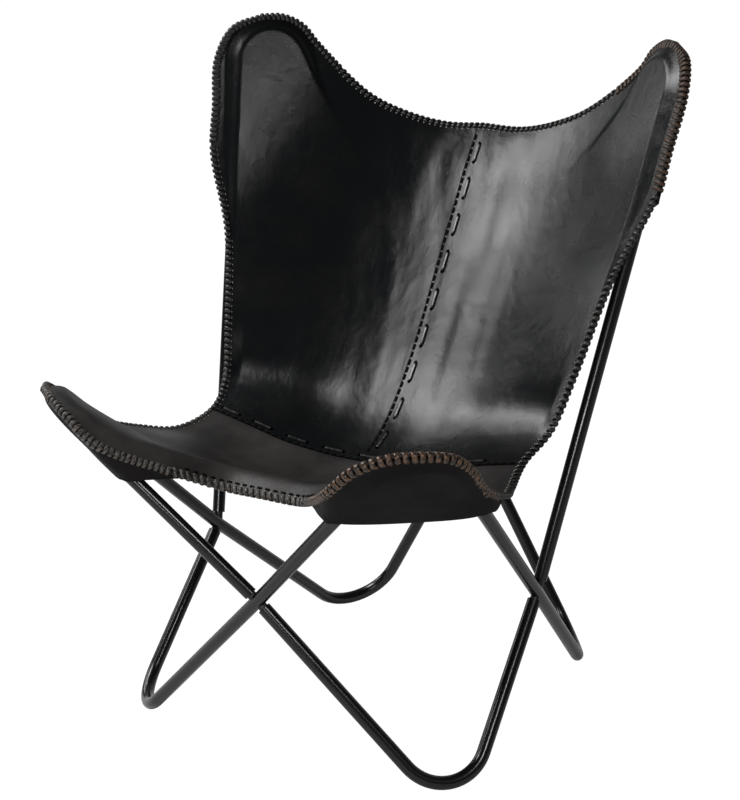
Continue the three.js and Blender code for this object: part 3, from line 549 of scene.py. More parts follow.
def finish_piece(name, bm, materials, replaces=(), sharp_angle=None):
    """Makes an object of a mesh, gives it its finish and ties it to the body"""
    bmesh.ops.recalc_face_normals(bm, faces=bm.faces[:])
    if sharp_angle is not None:
        for edge in bm.edges:
            if edge.is_manifold and edge.calc_face_angle(0) > sharp_angle:
                edge.smooth = False
    for face in bm.faces:
        face.smooth = True
    mesh = bpy.data.meshes.new(name)
    bm.to_mesh(mesh)
    bm.free()
    piece = bpy.data.objects.new(name, mesh)
    bpy.context.scene.collection.objects.link(piece)
    for material in materials:
        mesh.materials.append(material)
    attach(piece, BODY)
    if replaces:
        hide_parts(*replaces)
    return piece


def sheet_shell(upper, lower):
    """A closed sheet between two equal grids of points"""
    rows, columns = upper.shape[:2]
    bm = bmesh.new()
    bmesh.ops.create_grid(bm, x_segments=columns - 1, y_segments=rows - 1, size=0.5)
    copy = bmesh.ops.duplicate(bm, geom=bm.verts[:] + bm.edges[:] + bm.faces[:])["geom"]
    put(bm.verts, np.concatenate([upper.reshape(-1, 3), lower.reshape(-1, 3)]))
    bmesh.ops.reverse_faces(bm, faces=[g for g in copy if isinstance(g, bmesh.types.BMFace)])
    rim = [edge for edge in bm.edges if edge.is_boundary]
    bmesh.ops.bridge_loops(bm, edges=rim)
    for edge in rim:
        edge.smooth = False
    return bm


def hose(rings, sides):
    """A closed hose of rings of points, to be put in place afterwards"""
    bm = bmesh.new()
    bmesh.ops.create_circle(bm, cap_ends=True, segments=sides, radius=0.01)
    edges = bm.edges[:]
    for _ in range(rings - 1):
        grown = bmesh.ops.extrude_edge_only(bm, edges=edges)["geom"]
        edges = [g for g in grown if isinstance(g, bmesh.types.BMEdge)
                 and all(v in grown for v in g.verts)]
    bmesh.ops.edgeloop_fill(bm, edges=edges)
    return bm


def ring_frames(directions):
    """Two side directions for each ring, carried along without a twist"""
    side = unit(np.cross(directions[0], [0.0, 0.0, 1.0]))
    sides = []
    for direction in directions:
        side = unit(side - direction * dot(side, direction))
        sides.append(side)
    sides = np.array(sides)
    return sides, np.cross(directions, sides)


# Materials

def linear(colour):
    """An sRGB colour turned linear"""
    return [c / 12.92 if c <= 0.04045 else ((c + 0.055) / 1.055) ** 2.4 for c in colour] + [1.0]


def shade(colour, share):
    """A darker or lighter shade of an sRGB colour"""
    return [c * share for c in colour]


def per_metre(millimetres):
    """A texture's scale on Object coordinates for a pattern of this size"""
    return 1000 / millimetres


def add_node(owner, kind, feeds=None, stops=(), **settings):
    """Adds a node. settings name its properties or its sockets, feeds gives its sockets links or
    plain values, and stops gives a colour ramp's places and colours."""
    tree = owner.node_tree
    node = tree.nodes.new(kind)
    for key, value in settings.items():
        if hasattr(node, key):
            setattr(node, key, value)
        else:
            node.inputs[key.replace("_", " ")].default_value = value
    for socket, source in (feeds or {}).items():
        if isinstance(source, bpy.types.NodeSocket):
            tree.links.new(source, node.inputs[socket])
        else:
            node.inputs[socket].default_value = source
    for k, (position, colour) in enumerate(stops):
        node.color_ramp.elements[k].position = position
        node.color_ramp.elements[k].color = linear(colour)
    return node


def new_material(name):
    """A material without nodes"""
    material = bpy.data.materials.new(name)
    material.use_nodes = True
    material.node_tree.nodes.clear()
    return material


def shaded(material, gloss_level, tint, dull, bump):
    """Ends a material with its one shader, fed by the nodes of its colour, roughness and bump"""
    shader = add_node(material, "ShaderNodeBsdfPrincipled", {
        "Base Color": tint.outputs["Color"], "Roughness": dull.outputs["Result"],
        "Normal": bump.outputs["Normal"]}, IOR=1.5, Metallic=0.0, Specular_IOR_Level=gloss_level)
    add_node(material, "ShaderNodeOutputMaterial", {"Surface": shader.outputs["BSDF"]})
    return material


def stoved_enamel(name, colour, roughness):
    """Black enamel stoved on steel: satin gloss, with a very slight orange peel of about 9 mm that
    breaks the long highlights up, and a little dust that dulls it here and there"""
    material = new_material(name)
    place = add_node(material, "ShaderNodeTexCoord").outputs["Object"]
    peel = add_node(material, "ShaderNodeTexNoise", {"Vector": place}, Scale=per_metre(9), Detail=1.0)
    dust = add_node(material, "ShaderNodeTexNoise", {"Vector": place}, Scale=per_metre(70), Detail=4.0)
    tint = add_node(material, "ShaderNodeValToRGB", {"Fac": dust.outputs["Fac"]},
                    [(0.35, colour), (0.75, shade(colour, 1.35))])
    dull = add_node(material, "ShaderNodeMapRange", {"Value": dust.outputs["Fac"]},
                    To_Min=roughness - 0.05, To_Max=roughness + 0.09)
    bump = add_node(material, "ShaderNodeBump", {"Height": peel.outputs["Fac"]}, Strength=0.012,
                    Distance=0.0004)
    return shaded(material, 0.45, tint, dull, bump)


def finished_hide(name, colour, roughness, grain_mm, grain_strength, smoke, gloss_level):
    """Vegetable-tanned cowhide, dyed and waxed: a fine pebbled grain, drawn coarser than the real
    0.5 mm so that it shows, pull-up where the wax moved and the dye turned smoky, and a satin
    gloss that changes from patch to patch"""
    material = new_material(name)
    place = add_node(material, "ShaderNodeTexCoord").outputs["Object"]
    bend = add_node(material, "ShaderNodeTexNoise", {"Vector": place}, Scale=per_metre(35), Detail=0.0)
    warp = add_node(material, "ShaderNodeVectorMath", {0: bend.outputs["Color"], "Scale": 0.005},
                    operation="SCALE")
    bent = add_node(material, "ShaderNodeVectorMath", {0: place, 1: warp.outputs[0]},
                    operation="ADD").outputs[0]
    cells = add_node(material, "ShaderNodeTexVoronoi", {"Vector": bent}, feature="DISTANCE_TO_EDGE",
                     Scale=per_metre(grain_mm))
    pebbles = add_node(material, "ShaderNodeMapRange", {"Value": cells.outputs["Distance"]},
                       From_Max=0.25)
    drawn = add_node(material, "ShaderNodeMapping", {"Vector": bent}, Scale=(1.0, 1.0, 0.45))
    streaks = add_node(material, "ShaderNodeTexNoise", {"Vector": drawn.outputs[0]},
                       Scale=per_metre(16), Detail=2.0, Roughness=0.55)
    clouds = add_node(material, "ShaderNodeTexNoise", {"Vector": bent}, Scale=per_metre(85),
                      Detail=4.0, Roughness=0.55)
    smoky = add_node(material, "ShaderNodeValToRGB", {"Fac": clouds.outputs["Fac"]},
                     [(0.38, shade(colour, 0.80)), (0.72, shade(colour, 1 + smoke))])
    gloss = add_node(material, "ShaderNodeMapRange", {"Value": clouds.outputs["Fac"]}, From_Min=0.3,
                     From_Max=0.7, To_Min=roughness + 0.07, To_Max=roughness - 0.06)
    fine = add_node(material, "ShaderNodeBump", {"Height": pebbles.outputs["Result"]},
                    Strength=grain_strength, Distance=0.0003)
    soft = add_node(material, "ShaderNodeBump",
                    {"Height": streaks.outputs["Fac"], "Normal": fine.outputs["Normal"]},
                    Strength=0.26, Distance=0.0020)
    return shaded(material, gloss_level, smoky, gloss, soft)


def thong(name, colour, worn, roughness, gloss_level=0.4):
    """A cut strip of dyed leather, rubbed on its edges, where the dye wears to the hide's colour
    in spots of a few millimetres"""
    material = new_material(name)
    place = add_node(material, "ShaderNodeTexCoord").outputs["Object"]
    wear = add_node(material, "ShaderNodeTexNoise", {"Vector": place}, Scale=per_metre(3.5), Detail=6.0)
    fibre = add_node(material, "ShaderNodeTexNoise", {"Vector": place}, Scale=per_metre(1.2), Detail=2.0)
    tint = add_node(material, "ShaderNodeValToRGB", {"Fac": wear.outputs["Fac"]},
                    [(0.42, colour), (0.66, worn)])
    dull = add_node(material, "ShaderNodeMapRange", {"Value": wear.outputs["Fac"]},
                    To_Min=roughness - 0.1, To_Max=roughness + 0.1)
    bump = add_node(material, "ShaderNodeBump", {"Height": fibre.outputs["Fac"]}, Strength=0.35,
                    Distance=0.0003)
    return shaded(material, gloss_level, tint, dull, bump)


def made_once(name, maker, *colours, **values):
    """A material by name, made the first time it is asked for"""
    return bpy.data.materials.get(name) or maker(name, *colours, **values)


def tube_enamel():
    """The tubes' enamel, glossy enough to mirror the lamps in narrow lines"""
    colour = bpy.context.scene.chair_finishes.enamel
    return made_once("stoved_black_enamel", stoved_enamel, colour, roughness=0.19)


def spigot_enamel():
    """The same enamel on the pins, dulled where the tubes' ends rub on it"""
    colour = bpy.context.scene.chair_finishes.enamel
    return made_once("enamelled_steel_spigot", stoved_enamel, colour, roughness=0.40)


def back_hide():
    """The back's glazed hide, which mirrors the lamps in broad soft patches"""
    colour = bpy.context.scene.chair_finishes.back_hide
    return made_once("waxed_black_hide_back", finished_hide, colour, roughness=0.25, grain_mm=2.6,
                     grain_strength=0.20, smoke=0.9, gloss_level=0.28)


def seat_hide():
    """The seat's hide, greyer and duller from use"""
    colour = bpy.context.scene.chair_finishes.seat_hide
    return made_once("waxed_black_hide_seat", finished_hide, colour, roughness=0.44, grain_mm=2.8,
                     grain_strength=0.25, smoke=0.4, gloss_level=0.18)


def pocket_hide():
    """The pockets' hide, matt and a little brown"""
    colour = bpy.context.scene.chair_finishes.pocket_hide
    return made_once("matt_black_hide_pocket", finished_hide, colour, roughness=0.66, grain_mm=2.4,
                     grain_strength=0.30, smoke=0.25, gloss_level=0.12)


def black_thong():
    """The black thong of the side and top edges, with its dye nearly whole"""
    colour = bpy.context.scene.chair_finishes.black_thong
    return made_once("dyed_leather_thong_black", thong, colour, shade(colour, 3.2), roughness=0.40)


def brown_thong():
    """The front right pocket's thong, worn to brown in places"""
    colour = bpy.context.scene.chair_finishes.brown_thong
    return made_once("worn_leather_thong_brown", thong, shade(colour, 0.22), colour, roughness=0.36,
                     gloss_level=0.5)


def brown_thong_painted_shade():
    """The same brown thong on the back right pocket, drawn darker as painted shade, with less contrast
    in its spots
    """
    colour = bpy.context.scene.chair_finishes.brown_thong
    return made_once("worn_leather_thong_dark_brown", thong, shade(colour, 0.25), shade(colour, 0.8),
                     roughness=0.50)


def dusty_thong():
    """The thong of the front edge and the front left pocket, rubbed grey"""
    colour = bpy.context.scene.chair_finishes.dusty_thong
    return made_once("rubbed_leather_thong_grey", thong, shade(colour, 0.35), colour, roughness=0.50)


def strap_face_painted_sheen():
    """The smooth face of a stitching strap, painted far lighter than the hide as the sheen on its flat
    face, with random lighter spots
    """
    return made_once("burnished_leather_strap", thong, srgb("#242424"), srgb("#4c4c4a"),
                     roughness=0.26, gloss_level=0.5)


def raw_rim_painted_glint():
    """The undyed rim of a punched hole, drawn light as painted glint where the thong bends into it"""
    return made_once("raw_leather_hole_rim", thong, srgb("#8c8a82"), srgb("#ccc7bd"), roughness=0.5)


def waxed_cord_and_strap_shadow():
    """Black linen cord, dulled by its wax; the same black also paints the shadow beside each long stitch
    """
    return made_once("waxed_linen_cord_black", thong, srgb("#040404"), srgb("#0a0a0a"),
                     roughness=0.75, gloss_level=0.08)


def painted_hole_shadow():
    """Painted shadow: black for the shade inside a punched hole"""
    return made_once("punched_hole_shadow", thong, srgb("#000000"), srgb("#030303"), roughness=0.9,
                     gloss_level=0.0)


# The pieces

# Past this angle a tube's edge is shaded sharp
SHARP_EDGE = math.radians(35)
# Shares of half a seam's lap: up to where a panel is stepped in full, how far the right back
# panel's rise reaches, between where the left one dips, and where its even columns end
LAP_FULL, LAP_REACH, LAP_DIP, LAP_COLUMNS = 0.4, 2.2, (1.12, 0.8), 1.6
# How far past the cross seam's lap its step runs out, as a share of the way along the sling
LAP_FADE = 0.004
# How much of its rise over the seat the left panel's underside loses where it dips
DIP_SHARE = 0.6
# Columns and rows of the grids of half the seat, of a back panel's lap and the rest of it, and of
# the facing, and how much they crowd towards the sling's edges
SEAT_COLUMNS, SEAT_ROWS, SEAT_CROWDS = 90, 76, (0.75, 0.35)
LAP_GRID, BACK_COLUMNS, BACK_ROWS, BACK_CROWDS = 16, 88, 130, (0.5, 0.35)
FACING_COLUMNS, FACING_ROWS = 90, 12
# The pockets' corners, each with the tube that its pocket lies round
POCKET_TUBES = {"front_left": "left_main_tube", "front_right": "right_main_tube",
                "back_left": "back_left_hoop", "back_right": "left_main_tube"}
# How many places a pocket's rim has on its free edge and on its side edge
RIM_COUNTS = (60, 64)
# How many rows of points a pocket has down its lip and from there to its mouth, how deep the lip
# is as a share, and how much its rows crowd, which is towards the rim where it is negative
DEPTH_COUNTS, LIP_SHARE, LIP_CROWD = (27, 28), 0.3, -0.2


def the_sling():
    scene = bpy.context.scene
    return Sling(frame_lines(scene.chair_frame), scene.chair_frame, scene.chair_hide)


def build_sheet(name, upper, lower, finish, node):
    """Makes a piece of leather between two grids of points. It is cut flat to the size that it has
    where it hangs, because waxed hide of this thickness hardly stretches."""
    piece = finish_piece(name, sheet_shell(upper, lower), [finish], [node])


def spread(first, last, count, crowd=0.0):
    """Shares from first to last, closer together at the last the more they crowd"""
    share = np.linspace(0, 1, count)
    share = mix(share, 1 - (1 - share) ** 2, crowd)
    return mix(first, last, share)


def lap_shares(sling, hide):
    """Half the lap of the centre seam and of the cross seam, as shares of across and along"""
    across = hide.seam_lap / 2 / sling.rate(0.0, 0.75, "across")
    along = hide.seam_lap / 2 / sling.rate(0.0, SEAM_SHARE, "along")
    return float(across), float(along)


def build_tube(name):
    sizes = bpy.context.scene.chair_frame
    places, directions = centre_line(frame_lines(sizes), name, sizes)
    radius, chamfer = sizes.tube_diameter / 2, sizes.tube_wall / 4
    bore = radius - sizes.tube_wall

    def open_end(k, sign):
        """Rings from the depth of an open end's bore, over its chamfered edge, to its outside"""
        at, along = places[k], directions[k]
        return [(at + along * sign * sizes.bore_depth, along, bore), (at, along, bore),
                (at, along, radius - chamfer), (at + along * sign * chamfer, along, radius)]

    middle = [(place, direction, radius) for place, direction in zip(places[1:-1], directions[1:-1])]
    rings = open_end(0, 1) + middle + open_end(-1, -1)[::-1]
    centres, headings, radii = (np.array([ring[k] for ring in rings]) for k in range(3))
    sides, ups = ring_frames(headings)
    turn = np.linspace(0, 2 * math.pi, TUBE_SIDES, endpoint=False)[None, :, None]
    circles = np.cos(turn) * sides[:, None] + np.sin(turn) * ups[:, None]
    bm = hose(len(rings), TUBE_SIDES)
    put(bm.verts, centres[:, None] + radii[:, None, None] * circles)
    below = bmesh.ops.bisect_plane(bm, geom=bm.verts[:] + bm.edges[:] + bm.faces[:],
                                   plane_co=(0, 0, 0), plane_no=(0, 0, 1), clear_inner=True)
    cut = [g for g in below["geom_cut"] if isinstance(g, bmesh.types.BMEdge) and g.is_boundary]
    if cut:
        bmesh.ops.edgeloop_fill(bm, edges=cut)
    finish_piece(f"{name}_bent_steel", bm, [tube_enamel()], [name], SHARP_EDGE)


class CHAIR_OT_frame(bpy.types.Operator):
    """Sweeps the four bent tubes of the frame and paints the spigots between them"""
    bl_idname = "chair.frame"
    bl_label = "Bent tube frame"

    def execute(self, context):
        for name in TUBES:
            build_tube(name)
        for crossing in CROSSINGS:
            for end in ("upper", "lower"):
                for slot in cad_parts[f"{crossing}_cross_{end}_spigot"].material_slots:
                    slot.material = spigot_enamel()
        return {"FINISHED"}


class CHAIR_OT_seat_panel(bpy.types.Operator):
    """Hangs the seat panel, from the front edge to the cross seam under the back panels"""
    bl_idname = "chair.seat_panel"
    bl_label = "Seat panel"

    def execute(self, context):
        sling, hide = the_sling(), context.scene.chair_hide
        lap = lap_shares(sling, hide)[1]
        columns = spread(0, 1, SEAT_COLUMNS, SEAT_CROWDS[0])
        rows = spread(SEAM_SHARE + lap, 0, SEAT_ROWS, SEAT_CROWDS[1])[::-1]
        across, along = np.meshgrid(np.concatenate([-columns[:0:-1], columns]), rows)
        under = smooth(SEAM_SHARE - lap - LAP_FADE, SEAM_SHARE - lap * LAP_FULL, along)
        half = hide.thickness / 2
        upper = sling.face(across, along, half - under * (half + FIT_GAP))
        lower = sling.face(across, along, -half)
        build_sheet("seat_hide_panel", upper, lower, seat_hide(), "seat_panel")
        return {"FINISHED"}


class CHAIR_OT_back_panels(bpy.types.Operator):
    """Hangs the two back panels, the right one lapped over the left one in the middle"""
    bl_idname = "chair.back_panels"
    bl_label = "Back panels"

    def execute(self, context):
        sling, hide = the_sling(), context.scene.chair_hide
        lap, lap_along = lap_shares(sling, hide)
        rows = mix(SEAM_SHARE - lap_along, 1, spread(0, 1, BACK_ROWS, BACK_CROWDS[1]))
        for side, sign, tube, faces in (("left", -1, "back_left_hoop", self.left_faces),
                                        ("right", 1, "left_main_tube", self.right_faces)):
            clear = sign * lap * LAP_COLUMNS
            columns = np.concatenate([
                np.linspace(-sign * lap, clear, LAP_GRID)[:-1],
                mix(clear, sign, spread(0, 1, BACK_COLUMNS, BACK_CROWDS[0]))])
            across, along = np.meshgrid(columns, rows)
            over_seat = 1 - smooth(SEAM_SHARE + lap_along * LAP_FULL,
                                   SEAM_SHARE + lap_along + LAP_FADE, along)
            top, bottom = faces(across, over_seat, lap, hide)
            upper = sling.face(across, along, top)
            lower = sling.face(across, along, np.minimum(bottom, top - FIT_GAP))
            build_sheet(f"back_hide_{side}", upper[:, ::sign], lower[:, ::sign],
                        back_hide(), f"back_panel_{side}")
        return {"FINISHED"}

    def right_faces(self, across, over_seat, lap, hide):
        """How far the right panel's faces stand off the sling's middle, where it laps over"""
        half = hide.thickness / 2
        over = np.maximum(1 - smooth(lap * LAP_FULL, lap * LAP_REACH, across), over_seat)
        return half + hide.lap_rise * over, -half + over * (half + FIT_GAP)

    def left_faces(self, across, over_seat, lap, hide):
        """The same for the left panel, which dips under the right one"""
        half = hide.thickness / 2
        under = smooth(-lap * LAP_DIP[0], -lap * LAP_DIP[1], across)
        return (half + hide.lap_rise * over_seat * (1 - under) - under * (half + FIT_GAP),
                -half + over_seat * (half + FIT_GAP) * (1 - under * DIP_SHARE))


def edge_places(place, from_share, to_share, counts):
    """Places of the sling's edge, from the middle of the front or top edge round a tip"""
    edge = 0.0 if place == "front" else 1.0
    side = mix(edge, SEAM_SHARE, np.linspace(0, to_share, counts[1]))[1:]
    across = np.concatenate([np.linspace(1 - from_share, 1, counts[0]), np.ones(len(side))])
    return across, np.concatenate([np.full(counts[0], edge), side])


def pocket_points(sling, place, side_name):
    """A pocket's middle surface: a column from each place of its rim to its mouth, under the tube"""
    peak = sling.halves[side_name][place]
    sign = -1 if side_name == "left" else 1
    across, along = edge_places(place, *RIM_SHARES[place], RIM_COUNTS)
    edge = sling.points(sign * across, along)
    inwards = unit(sling.inside(sign * across, along) - edge)
    laced_depth = sling.thickness + FIT_GAP * 2
    rim = edge + inwards * POCKET_INSET - sling.normals(sign * across, along) * laced_depth
    if sign < 0:
        rim = mirrored(rim)
    beside, inner_leg, middle, side_leg = FRONT_MOUTH if place == "front" else BACK_MOUTH

    def past(end, before):
        return end + unit(end - before) * MOUTH_OVERLAP - peak.normal * sling.thickness / 2

    def at_leg(leg, turn, reach, out, under):
        outward = unit(peak.arc(turn * peak.sweep, peak.radius) - peak.centre)
        return peak.corner + leg * reach + outward * out - peak.normal * under

    mouth = Curve([
        past(rim[0], rim[3]),
        at_leg(peak.a, -1, beside, sling.contact, 0),
        at_leg(peak.a, -1, inner_leg, 0, sling.contact),
        peak.corner - peak.outward * middle - peak.normal * sling.contact,
        at_leg(peak.b, 1, side_leg, 0, sling.contact),
        past(rim[-1], rim[-4]),
    ])
    run = run_length(rim)
    turn = RIM_COUNTS[0] - 1
    first = MOUTH_TURN * run / run[turn]
    second = mix(MOUTH_TURN, 1, (run - run[turn]) / (run[-1] - run[turn]))
    round_share = np.where(np.arange(len(run)) < turn, first, second)
    depth = np.concatenate([spread(0, LIP_SHARE, DEPTH_COUNTS[0], LIP_CROWD),
                            spread(LIP_SHARE, 1, DEPTH_COUNTS[1])[1:]])
    share = depth[None, :, None]
    bulge = POCKET_SLACK * np.sin(round_share * math.pi)[:, None] * np.sin(depth * math.pi)[None]
    points = mix(rim[:, None], mouth(round_share)[:, None], share) - bulge[..., None] * peak.normal
    at_plane = np.clip(1 - ((rim - peak.centre) @ peak.normal) / sling.contact, 0, 1)
    draped = sling.drape_under(peak, points, np.broadcast_to(at_plane[:, None], bulge.shape))
    points = np.where(share > 0, draped, points)
    return mirrored(points) if sign < 0 else points


class CHAIR_OT_pockets(bpy.types.Operator):
    """Lays the four pockets round the frame's peaks"""
    bl_idname = "chair.pockets"
    bl_label = "Pockets"

    def execute(self, context):
        sling, half = the_sling(), context.scene.chair_hide.thickness / 2
        for corner, tube in POCKET_TUBES.items():
            points = pocket_points(sling, *corner.split("_"))
            offset = unit(np.cross(np.gradient(points, axis=0), np.gradient(points, axis=1))) * half
            build_sheet(f"{corner}_pocket_hide", points + offset, points - offset,
                        pocket_hide(), f"{corner}_pocket")
        return {"FINISHED"}


class CHAIR_OT_facing(bpy.types.Operator):
    """Backs the front edge between the pockets with a thin strip"""
    bl_idname = "chair.facing"
    bl_label = "Front edge facing"

    def execute(self, context):
        sling, hide = the_sling(), context.scene.chair_hide
        across, along = np.meshgrid(
            np.linspace(-FACING_SPAN_SHARE, FACING_SPAN_SHARE, FACING_COLUMNS),
            np.linspace(0, FACING_DEPTH_SHARE * SEAM_SHARE, FACING_ROWS))
        top = -hide.thickness / 2 - FIT_GAP
        upper = sling.face(across, along, top)
        lower = sling.face(across, along, top - hide.facing_thickness)
        build_sheet("front_edge_facing_strip", upper, lower, pocket_hide(),
                    "front_edge_facing")
        return {"FINISHED"}


# Lacing and stitching

# Sections of a thong, as shares of its half width and half thickness: cut flat, and padded round
FLAT_SECTION = np.array([(1, 0), (0.74, 1), (-0.74, 1), (-1, 0), (-0.74, -1), (0.74, -1)])
ROUND_SECTION = np.array([(1, 0), (0.82, 0.6), (0.4, 1), (-0.4, 1), (-0.82, 0.6), (-1, 0),
                          (-0.6, -0.8), (0.6, -0.8)])
# How far a turn leans along the edge, as a share of the thong's width
FLAT_SLANT, ROUND_SLANT = 0.62, 0.36
# A turn's air over the leather's face and off its edge, how deep it starts in its hole, how far
# out it has come up, and where it starts to round the edge
FACE_AIR, EDGE_AIR, HOLE_DEPTH, HOLE_LEAN, EDGE_ROUND = 0.0001, 0.0003, 0.0004, 0.0010, 0.0006
# How much further in a pocket's thong goes through its underside
UNDER_SET = 0.003
# How far the back pockets' holes lie further in than the other edges'
BACK_RIGHT_DEEPER, BACK_LEFT_DEEPER = 0.0047, 0.0017
# How many places an edge is measured at
EDGE_STEPS, POCKET_EDGE_STEPS = 600, (400, 400)
# Studs: how deep they start under the surface, and the radius and height of a raw hole's rim, drawn
# light as painted glint, and of a dark hole, drawn black as painted shadow. A rim lies a little behind
# its thong.
STUD_SIDES, STUD_ROOT = 8, 0.0004
RIM_GLINT_STUD, RIM_SET_BACK = (0.0011, 0.0004), 0.0008
HOLE_SHADOW_STUD = (0.0026, 0.0008)
# A stitch's rings: shares of its length, and of its thickness over the surface
STITCH_RINGS = np.array([-0.5, -0.46, -0.36, 0.0, 0.36, 0.46, 0.5])
STITCH_LIFTS = np.array([-0.4, 0.35, 0.55, 0.60, 0.55, 0.35, -0.4])
STITCH_SHARP_EDGE = math.radians(40)
# How many places a seam is measured at, and how far short of the sling's edges the stitches stop,
# and those of the centre seam short of the cross seam, as a share of across or along
SEAM_STEPS, SEAM_MARGIN = 400, 0.015
# How far the rows stand from a seam: the short stitches beside the centre seam and the cross seam, the
# long ones, and the strip of black cord past the long ones that is their painted shadow, with its width
# and thickness
CENTRE_ROW, CROSS_ROW, STRAP_ROW, STRAP_SHADOW_SIDE = 0.0012, 0.0020, 0.0112, 0.0027
STRAP_SHADOW_CUT = (0.0026, 0.0008)
# The thickness of a long stitch, and that of the short ones' cord as a share of its width
STRAP_THICKNESS, CORD_FLATNESS = 0.0012, 0.45
# The facing's stitching: its place as a share of the facing's depth, and shares of the seam's sizes
FACING_ROW, FACING_STITCH, FACING_FLATNESS = 0.82, 0.7, 0.4


def strap_rings(centres, widths, ups, width, thickness, section=FLAT_SECTION):
    """Points round a strap: centres, width directions and face directions are equal arrays"""
    x, y = section[:, :1] * width / 2, section[:, 1:] * thickness / 2
    return centres[..., None, :] + widths[..., None, :] * x + ups[..., None, :] * y


def many(template, placed, bm=None, material_index=0):
    """Copies of a template mesh, each put to its own points"""
    mesh = bpy.data.meshes.new("template")
    template.to_mesh(mesh)
    template.free()
    bm = bm or bmesh.new()
    first_face, first_vert = len(bm.faces), len(bm.verts)
    for _ in placed:
        bm.from_mesh(mesh)
    bpy.data.meshes.remove(mesh)
    put(bm.verts[first_vert:], placed)
    for face in bm.faces[first_face:]:
        face.material_index = material_index
    return bm


def studs(at, across, along, up, radius, rise):
    """Points of low round studs, two rings each, from a little under the surface"""
    turn = np.linspace(0, 2 * math.pi, STUD_SIDES, endpoint=False)[None, :, None]
    circle = radius * (np.cos(turn) * across[:, None] + np.sin(turn) * along[:, None])
    low, high = at[:, None] - up[:, None] * STUD_ROOT, at[:, None] + up[:, None] * rise
    return np.concatenate([low + circle, high + circle], axis=1)


class Edge:
    """A laced edge of the sling, measured along its length"""

    def __init__(self, sling, across, along):
        self.points = sling.points(across, along)
        self.normals = sling.normals(across, along)
        self.run = unit(np.gradient(self.points, axis=0))
        outward = unit(np.cross(self.run, self.normals))
        facing = np.sign(dot(outward, self.points - sling.inside(across, along)))
        self.outward = outward * facing[:, None]
        self.measure = run_length(self.points)

    def at(self, where, values):
        return np.stack([np.interp(where, self.measure, values[:, k]) for k in range(3)], axis=-1)

    def frame(self, where):
        return (self.at(where, self.points), unit(self.at(where, self.run)),
                unit(self.at(where, self.normals)), unit(self.at(where, self.outward)))


def whip_lacing(edge, hide_depth, cut, insets, pitch, section):
    """Turns of a thong whipped over an edge, and light studs at its holes: the undyed rims, drawn
    lighter as painted glint where the thong bends into them. Each turn comes out of its hole, goes over
    the edge and back in underneath. hide_depth is how far the leather reaches over and under the middle,
    cut is the thong's width and thickness, and insets is how far from the edge it comes out and goes in."""
    (over, under), (width, thickness), (inset, under_inset) = hide_depth, cut, insets
    slant = width * (ROUND_SLANT if section is ROUND_SECTION else FLAT_SLANT)
    lift = thickness / 2 + FACE_AIR
    out = thickness / 2 + EDGE_AIR
    profile = np.array([
        (-inset, over - HOLE_DEPTH), (-inset + HOLE_LEAN, over + lift * 1.25),
        (-inset * 0.5, over + lift * 1.15), (-EDGE_ROUND, over + lift * 0.9),
        (out, over * 0.35), (out, -under * 0.5),
        (-EDGE_ROUND, -under - lift * 0.9), (-under_inset * 0.5, -under - lift * 1.15),
        (-under_inset + HOLE_LEAN, -under - lift * 1.25), (-under_inset, -under + HOLE_DEPTH)])
    travel = np.array([-1, -0.86, -0.5, -0.08, 0, 0, 0.08, 0.5, 0.86, 1]) * slant
    margin = slant + width / 2
    length = edge.measure[-1]
    count = max(2, int((length - 2 * margin) / pitch))
    starts = np.linspace(margin, length - margin, count)
    at, run, normal, outward = edge.frame(starts[:, None] + travel[None])
    centres = at + outward * profile[None, :, :1] + normal * profile[None, :, 1:]
    tangent = unit(np.gradient(centres, axis=1))
    widths = unit(run - tangent * dot(run, tangent)[..., None])
    rings = strap_rings(centres, widths, np.cross(tangent, widths), width, thickness, section)
    at, run, normal, outward = edge.frame(starts - slant)
    rims = at - outward * (inset + RIM_SET_BACK) + normal * over
    return rings.reshape(count, -1, 3), studs(rims, run, outward, normal, *RIM_GLINT_STUD)


